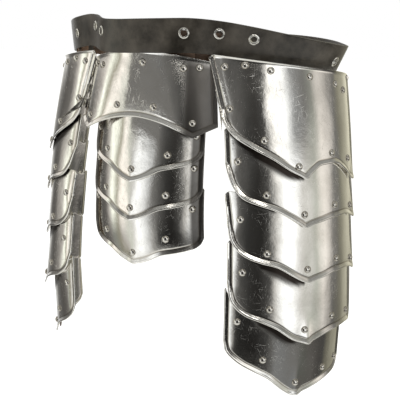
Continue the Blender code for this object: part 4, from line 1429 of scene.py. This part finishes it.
@dataclass
class Studio:
    """Plain pale floor, soft light from broad panels, and the camera at the photograph's angle."""

    camera_place: tuple[float, float, float] = (0.5272, -0.9048, 0.0058)
    azimuth: float = 29.73
    pitch: float = 12.90
    roll: float = 1.03
    lens: float = 65.8
    floor_height: float = -0.75
    floor_size: float = 40

    # Panels round the object: azimuth from the front towards the wearer's left, then brightness as seen high,
    # level and low, and tint
    PANELS = [
        (-180, 0.70, 0.80, 0.60, "olive"),
        (-160, 0.75, 0.90, 0.60, "olive"),
        (-146, 0.70, 0.92, 0.92, "plain"),
        (-132, 0.50, 1.00, 0.80, "cool"),
        (-119, 0.88, 0.75, 0.66, "plain"),
        (-109, 0.94, 0.45, 0.38, "plain"),
        (-98, 0.92, 0.33, 0.32, "warm"),
        (-88, 0.92, 0.40, 0.35, "warm"),
        (-77, 0.96, 0.74, 0.45, "warm"),
        (-70, 0.98, 1.00, 0.52, "green"),
        (-57, 0.60, 0.60, 0.54, "olive"),
        (-47, 0.66, 1.00, 0.70, "warm"),
        (-38, 0.82, 0.80, 0.80, "green"),
        (-33, 0.46, 0.76, 0.86, "plain"),
        (-24, 0.54, 1.00, 1.00, "cool"),
        (-14, 0.42, 0.90, 0.92, "cool"),
        (-5, 0.42, 0.46, 0.60, "plain"),
        (4, 0.36, 0.34, 0.26, "plain"),
        (16, 0.27, 0.21, 0.16, "plain"),
        (30, 0.22, 0.16, 0.14, "warm"),
        (40, 0.25, 0.27, 0.20, "plain"),
        (48, 1.00, 0.84, 0.36, "plain"),
        (58, 0.98, 1.00, 0.46, "cool"),
        (72, 0.56, 1.00, 0.44, "cool"),
        (84, 0.44, 0.84, 0.42, "plain"),
        (97, 0.54, 0.72, 0.34, "green"),
        (111, 0.80, 0.95, 0.34, "warm"),
        (124, 0.62, 0.78, 0.27, "warm"),
        (133, 0.38, 0.42, 0.27, "plain"),
        (143, 0.60, 0.48, 0.40, "olive"),
        (158, 0.64, 0.62, 0.56, "olive"),
        (180, 0.70, 0.80, 0.60, "olive"),
    ]
    TINTS = {
        "plain": (1.0, 0.985, 0.95),
        "warm": (1.0, 0.95, 0.89),
        "cool": (0.97, 0.99, 1.0),
        "green": (0.97, 1.0, 0.90),
        "olive": (0.98, 0.94, 0.74),
    }

    # High and low band: column of PANELS, and the stops of its share by height
    BANDS = [(1, [(0.53, 0.0), (0.60, 1.0)]), (3, [(0.30, 1.0), (0.42, 0.0)])]
    # Upper zone, zenith and nadir: brightness, and the stops of its share by height
    ZONES = [
        (0.34, [(0.66, 0.0), (0.78, 1.0)]),
        (0.95, [(0.90, 0.0), (0.97, 1.0)]),
        (0.95, [(0.15, 1.0), (0.23, 0.0)]),
    ]
    # Name, place, size, power
    LAMPS = [("key", (-0.9, -1.6, 1.3), 1.1, 26), ("fill", (1.9, -0.2, 1.1), 1.2, 26)]
    LAMP_AIM = (0, 0, -0.15)
    # Name, place, width and height, brightness
    CARDS = [
        ("grey_card", (-0.13, -0.55, -0.012), (0.32, 0.13), 0.19),
        ("left_softbox", (0.36, -1.22, 0.58), (0.24, 0.24), 4),
        ("right_softbox", (0.88, -0.86, 0.58), (0.24, 0.24), 4),
    ]
    CARD_AIM = (0.045, -0.15, -0.06)
    CARD_GLOW = (1.0, 0.98, 0.94, 1)
    GAMMA = 2.2
    EXPOSURE = 0.8
    BOOST = 1.25
    BOOST_FROM = 0.97

    @staticmethod
    def linear(level: float) -> float:
        """Brightness as seen made linear, with the brightest panels above white."""
        return (Studio.BOOST if level > Studio.BOOST_FROM else 1.0) * level ** Studio.GAMMA / Studio.EXPOSURE

    def panels(self, nodes: Nodes, place: bpy.types.NodeSocket, column: int) -> bpy.types.NodeSocket:
        """Colour round the object at one height.

        Args:
            nodes: Nodes of the sky.
            place: Azimuth as a share of the full turn.
            column: Column of PANELS that is read.

        Returns:
            The colour.
        """
        stops = []
        for row in self.PANELS:
            level = self.linear(row[column])
            stops.append(((row[0] + 180) / 360, (*(level * part for part in self.TINTS[row[4]]), 1)))
        return nodes.ramp(place, stops)

    def light(self) -> None:
        """The panels as a sky, plain white where the camera sees it, and two soft lamps."""
        world = bpy.data.worlds.new("studio")
        bpy.context.scene.world = world
        world.use_nodes = True
        nodes = Nodes(world.node_tree)
        world.node_tree.nodes.clear()
        direction = nodes.add("ShaderNodeTexCoord").outputs["Generated"]
        parts = nodes.add("ShaderNodeSeparateXYZ", {0: direction})
        turn = nodes.math("ARCTAN2", parts.outputs["X"], nodes.math("MULTIPLY", parts.outputs["Y"], -1.0))
        place = nodes.math("MULTIPLY_ADD", turn, 1 / math.tau, 0.5)
        height = nodes.math("MULTIPLY_ADD", parts.outputs["Z"], 0.5, 0.5)
        colour = self.panels(nodes, place, 2)
        for column, stops in self.BANDS:
            colour = nodes.mix(nodes.ramp(height, stops), colour, self.panels(nodes, place, column))
        for level, stops in self.ZONES:
            colour = nodes.mix(nodes.ramp(height, stops), colour, (level, level, 0.96 * level, 1))
        seen = nodes.add("ShaderNodeLightPath").outputs["Is Camera Ray"]
        plain = nodes.mix(seen, colour, (1.0, 1.0, 1.0, 1))
        back = nodes.add("ShaderNodeBackground", {"Color": plain, "Strength": 1.0})
        out = nodes.add("ShaderNodeOutputWorld")
        nodes.feed(out.inputs["Surface"], back.outputs[0])
        for lamp in self.LAMPS:
            self.lamp(*lamp)

    def lamp(self, name: str, place: Row, size: float, power: float) -> None:
        """A soft square lamp that faces the object."""
        data = bpy.data.lights.new(name, "AREA")
        data.size = size
        data.energy = power
        made = bpy.data.objects.new(name, data)
        made.location = place
        made.rotation_euler = (Vector(self.LAMP_AIM) - Vector(place)).to_track_quat("-Z", "Y").to_euler()
        made.visible_glossy = False
        bpy.context.scene.collection.objects.link(made)

    def card(self, name: str, place: Row, size: Row, strength: float) -> None:
        """A card out of the picture, which only polished metal mirrors.

        Args:
            name: Name of the card.
            place: Its middle.
            size: Width and height.
            strength: Its brightness.
        """
        made = primitive(bpy.ops.mesh.primitive_plane_add, size=1)
        made.name = name
        stand = facing(Vector(place), Vector(self.CARD_AIM) - Vector(place))
        made.data.transform(stand @ Matrix.Diagonal((*size, 1, 1)))
        dress(made, glowing(f"{name}_face", grey=0.0, roughness=1.0, glow=self.CARD_GLOW, strength=strength))
        made.visible_camera = made.visible_shadow = made.visible_diffuse = False

    def floor(self) -> None:
        """A wide pale floor under the object."""
        made = primitive(bpy.ops.mesh.primitive_plane_add, size=self.floor_size,
                         location=(0, 0, self.floor_height))
        made.name = "floor"
        dress(made, glowing("pale_floor", grey=0.93, roughness=0.9, glow=(1, 1, 1, 1), strength=0.6))
        made.visible_glossy = False

    def camera(self) -> None:
        """The camera."""
        turn, pitch, roll = (math.radians(v) for v in (self.azimuth, self.pitch, self.roll))
        back = Vector((math.sin(turn) * math.cos(pitch), -math.cos(turn) * math.cos(pitch), math.sin(pitch)))
        right = Vector((math.cos(turn), math.sin(turn), 0))
        up = back.cross(right)
        level_right = right * math.cos(roll) + up * math.sin(roll)
        level_up = -right * math.sin(roll) + up * math.cos(roll)
        data = bpy.data.cameras.new("camera")
        data.lens = self.lens
        data.sensor_width = 36
        data.sensor_fit = "HORIZONTAL"
        data.clip_start = 0.05
        made = bpy.data.objects.new("camera", data)
        axes = Matrix((level_right, level_up, back)).transposed().to_4x4()
        made.matrix_world = Matrix.Translation(Vector(self.camera_place)) @ axes
        bpy.context.scene.collection.objects.link(made)
        bpy.context.scene.camera = made

    def build(self) -> None:
        """Everything but the object."""
        self.light()
        for card in self.CARDS:
            self.card(*card)
        self.floor()
        self.camera()
        bpy.context.scene.view_settings.view_transform = "Standard"
        bpy.context.scene.view_settings.look = "None"


def main() -> None:
    """Builds the looks piece by piece."""
    logging.basicConfig(level=logging.INFO, format="%(name)s %(message)s")
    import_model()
    palette = Palette.mixed()
    kit = RivetKit()
    kit.model()
    for side in Side:
        for index in range(5):
            SideLame(f"{side.word}_lame_{index + 1}", index=index, side=side).build(kit, palette)
    FrontPlate("front_plate").build(kit, palette)
    for index in range(3):
        FrontLame(f"front_lame_{index + 1}", index=index).build(kit, palette)
    kit.drop_models()
    belt = Belt()
    belt.build(palette)
    belt.build_eyelets(palette)
    belt.build_stud(palette)
    belt.build_backing(palette)
    HiddenStraps().build(palette)
    Studio().build()


if __name__ == "__main__":
    main()
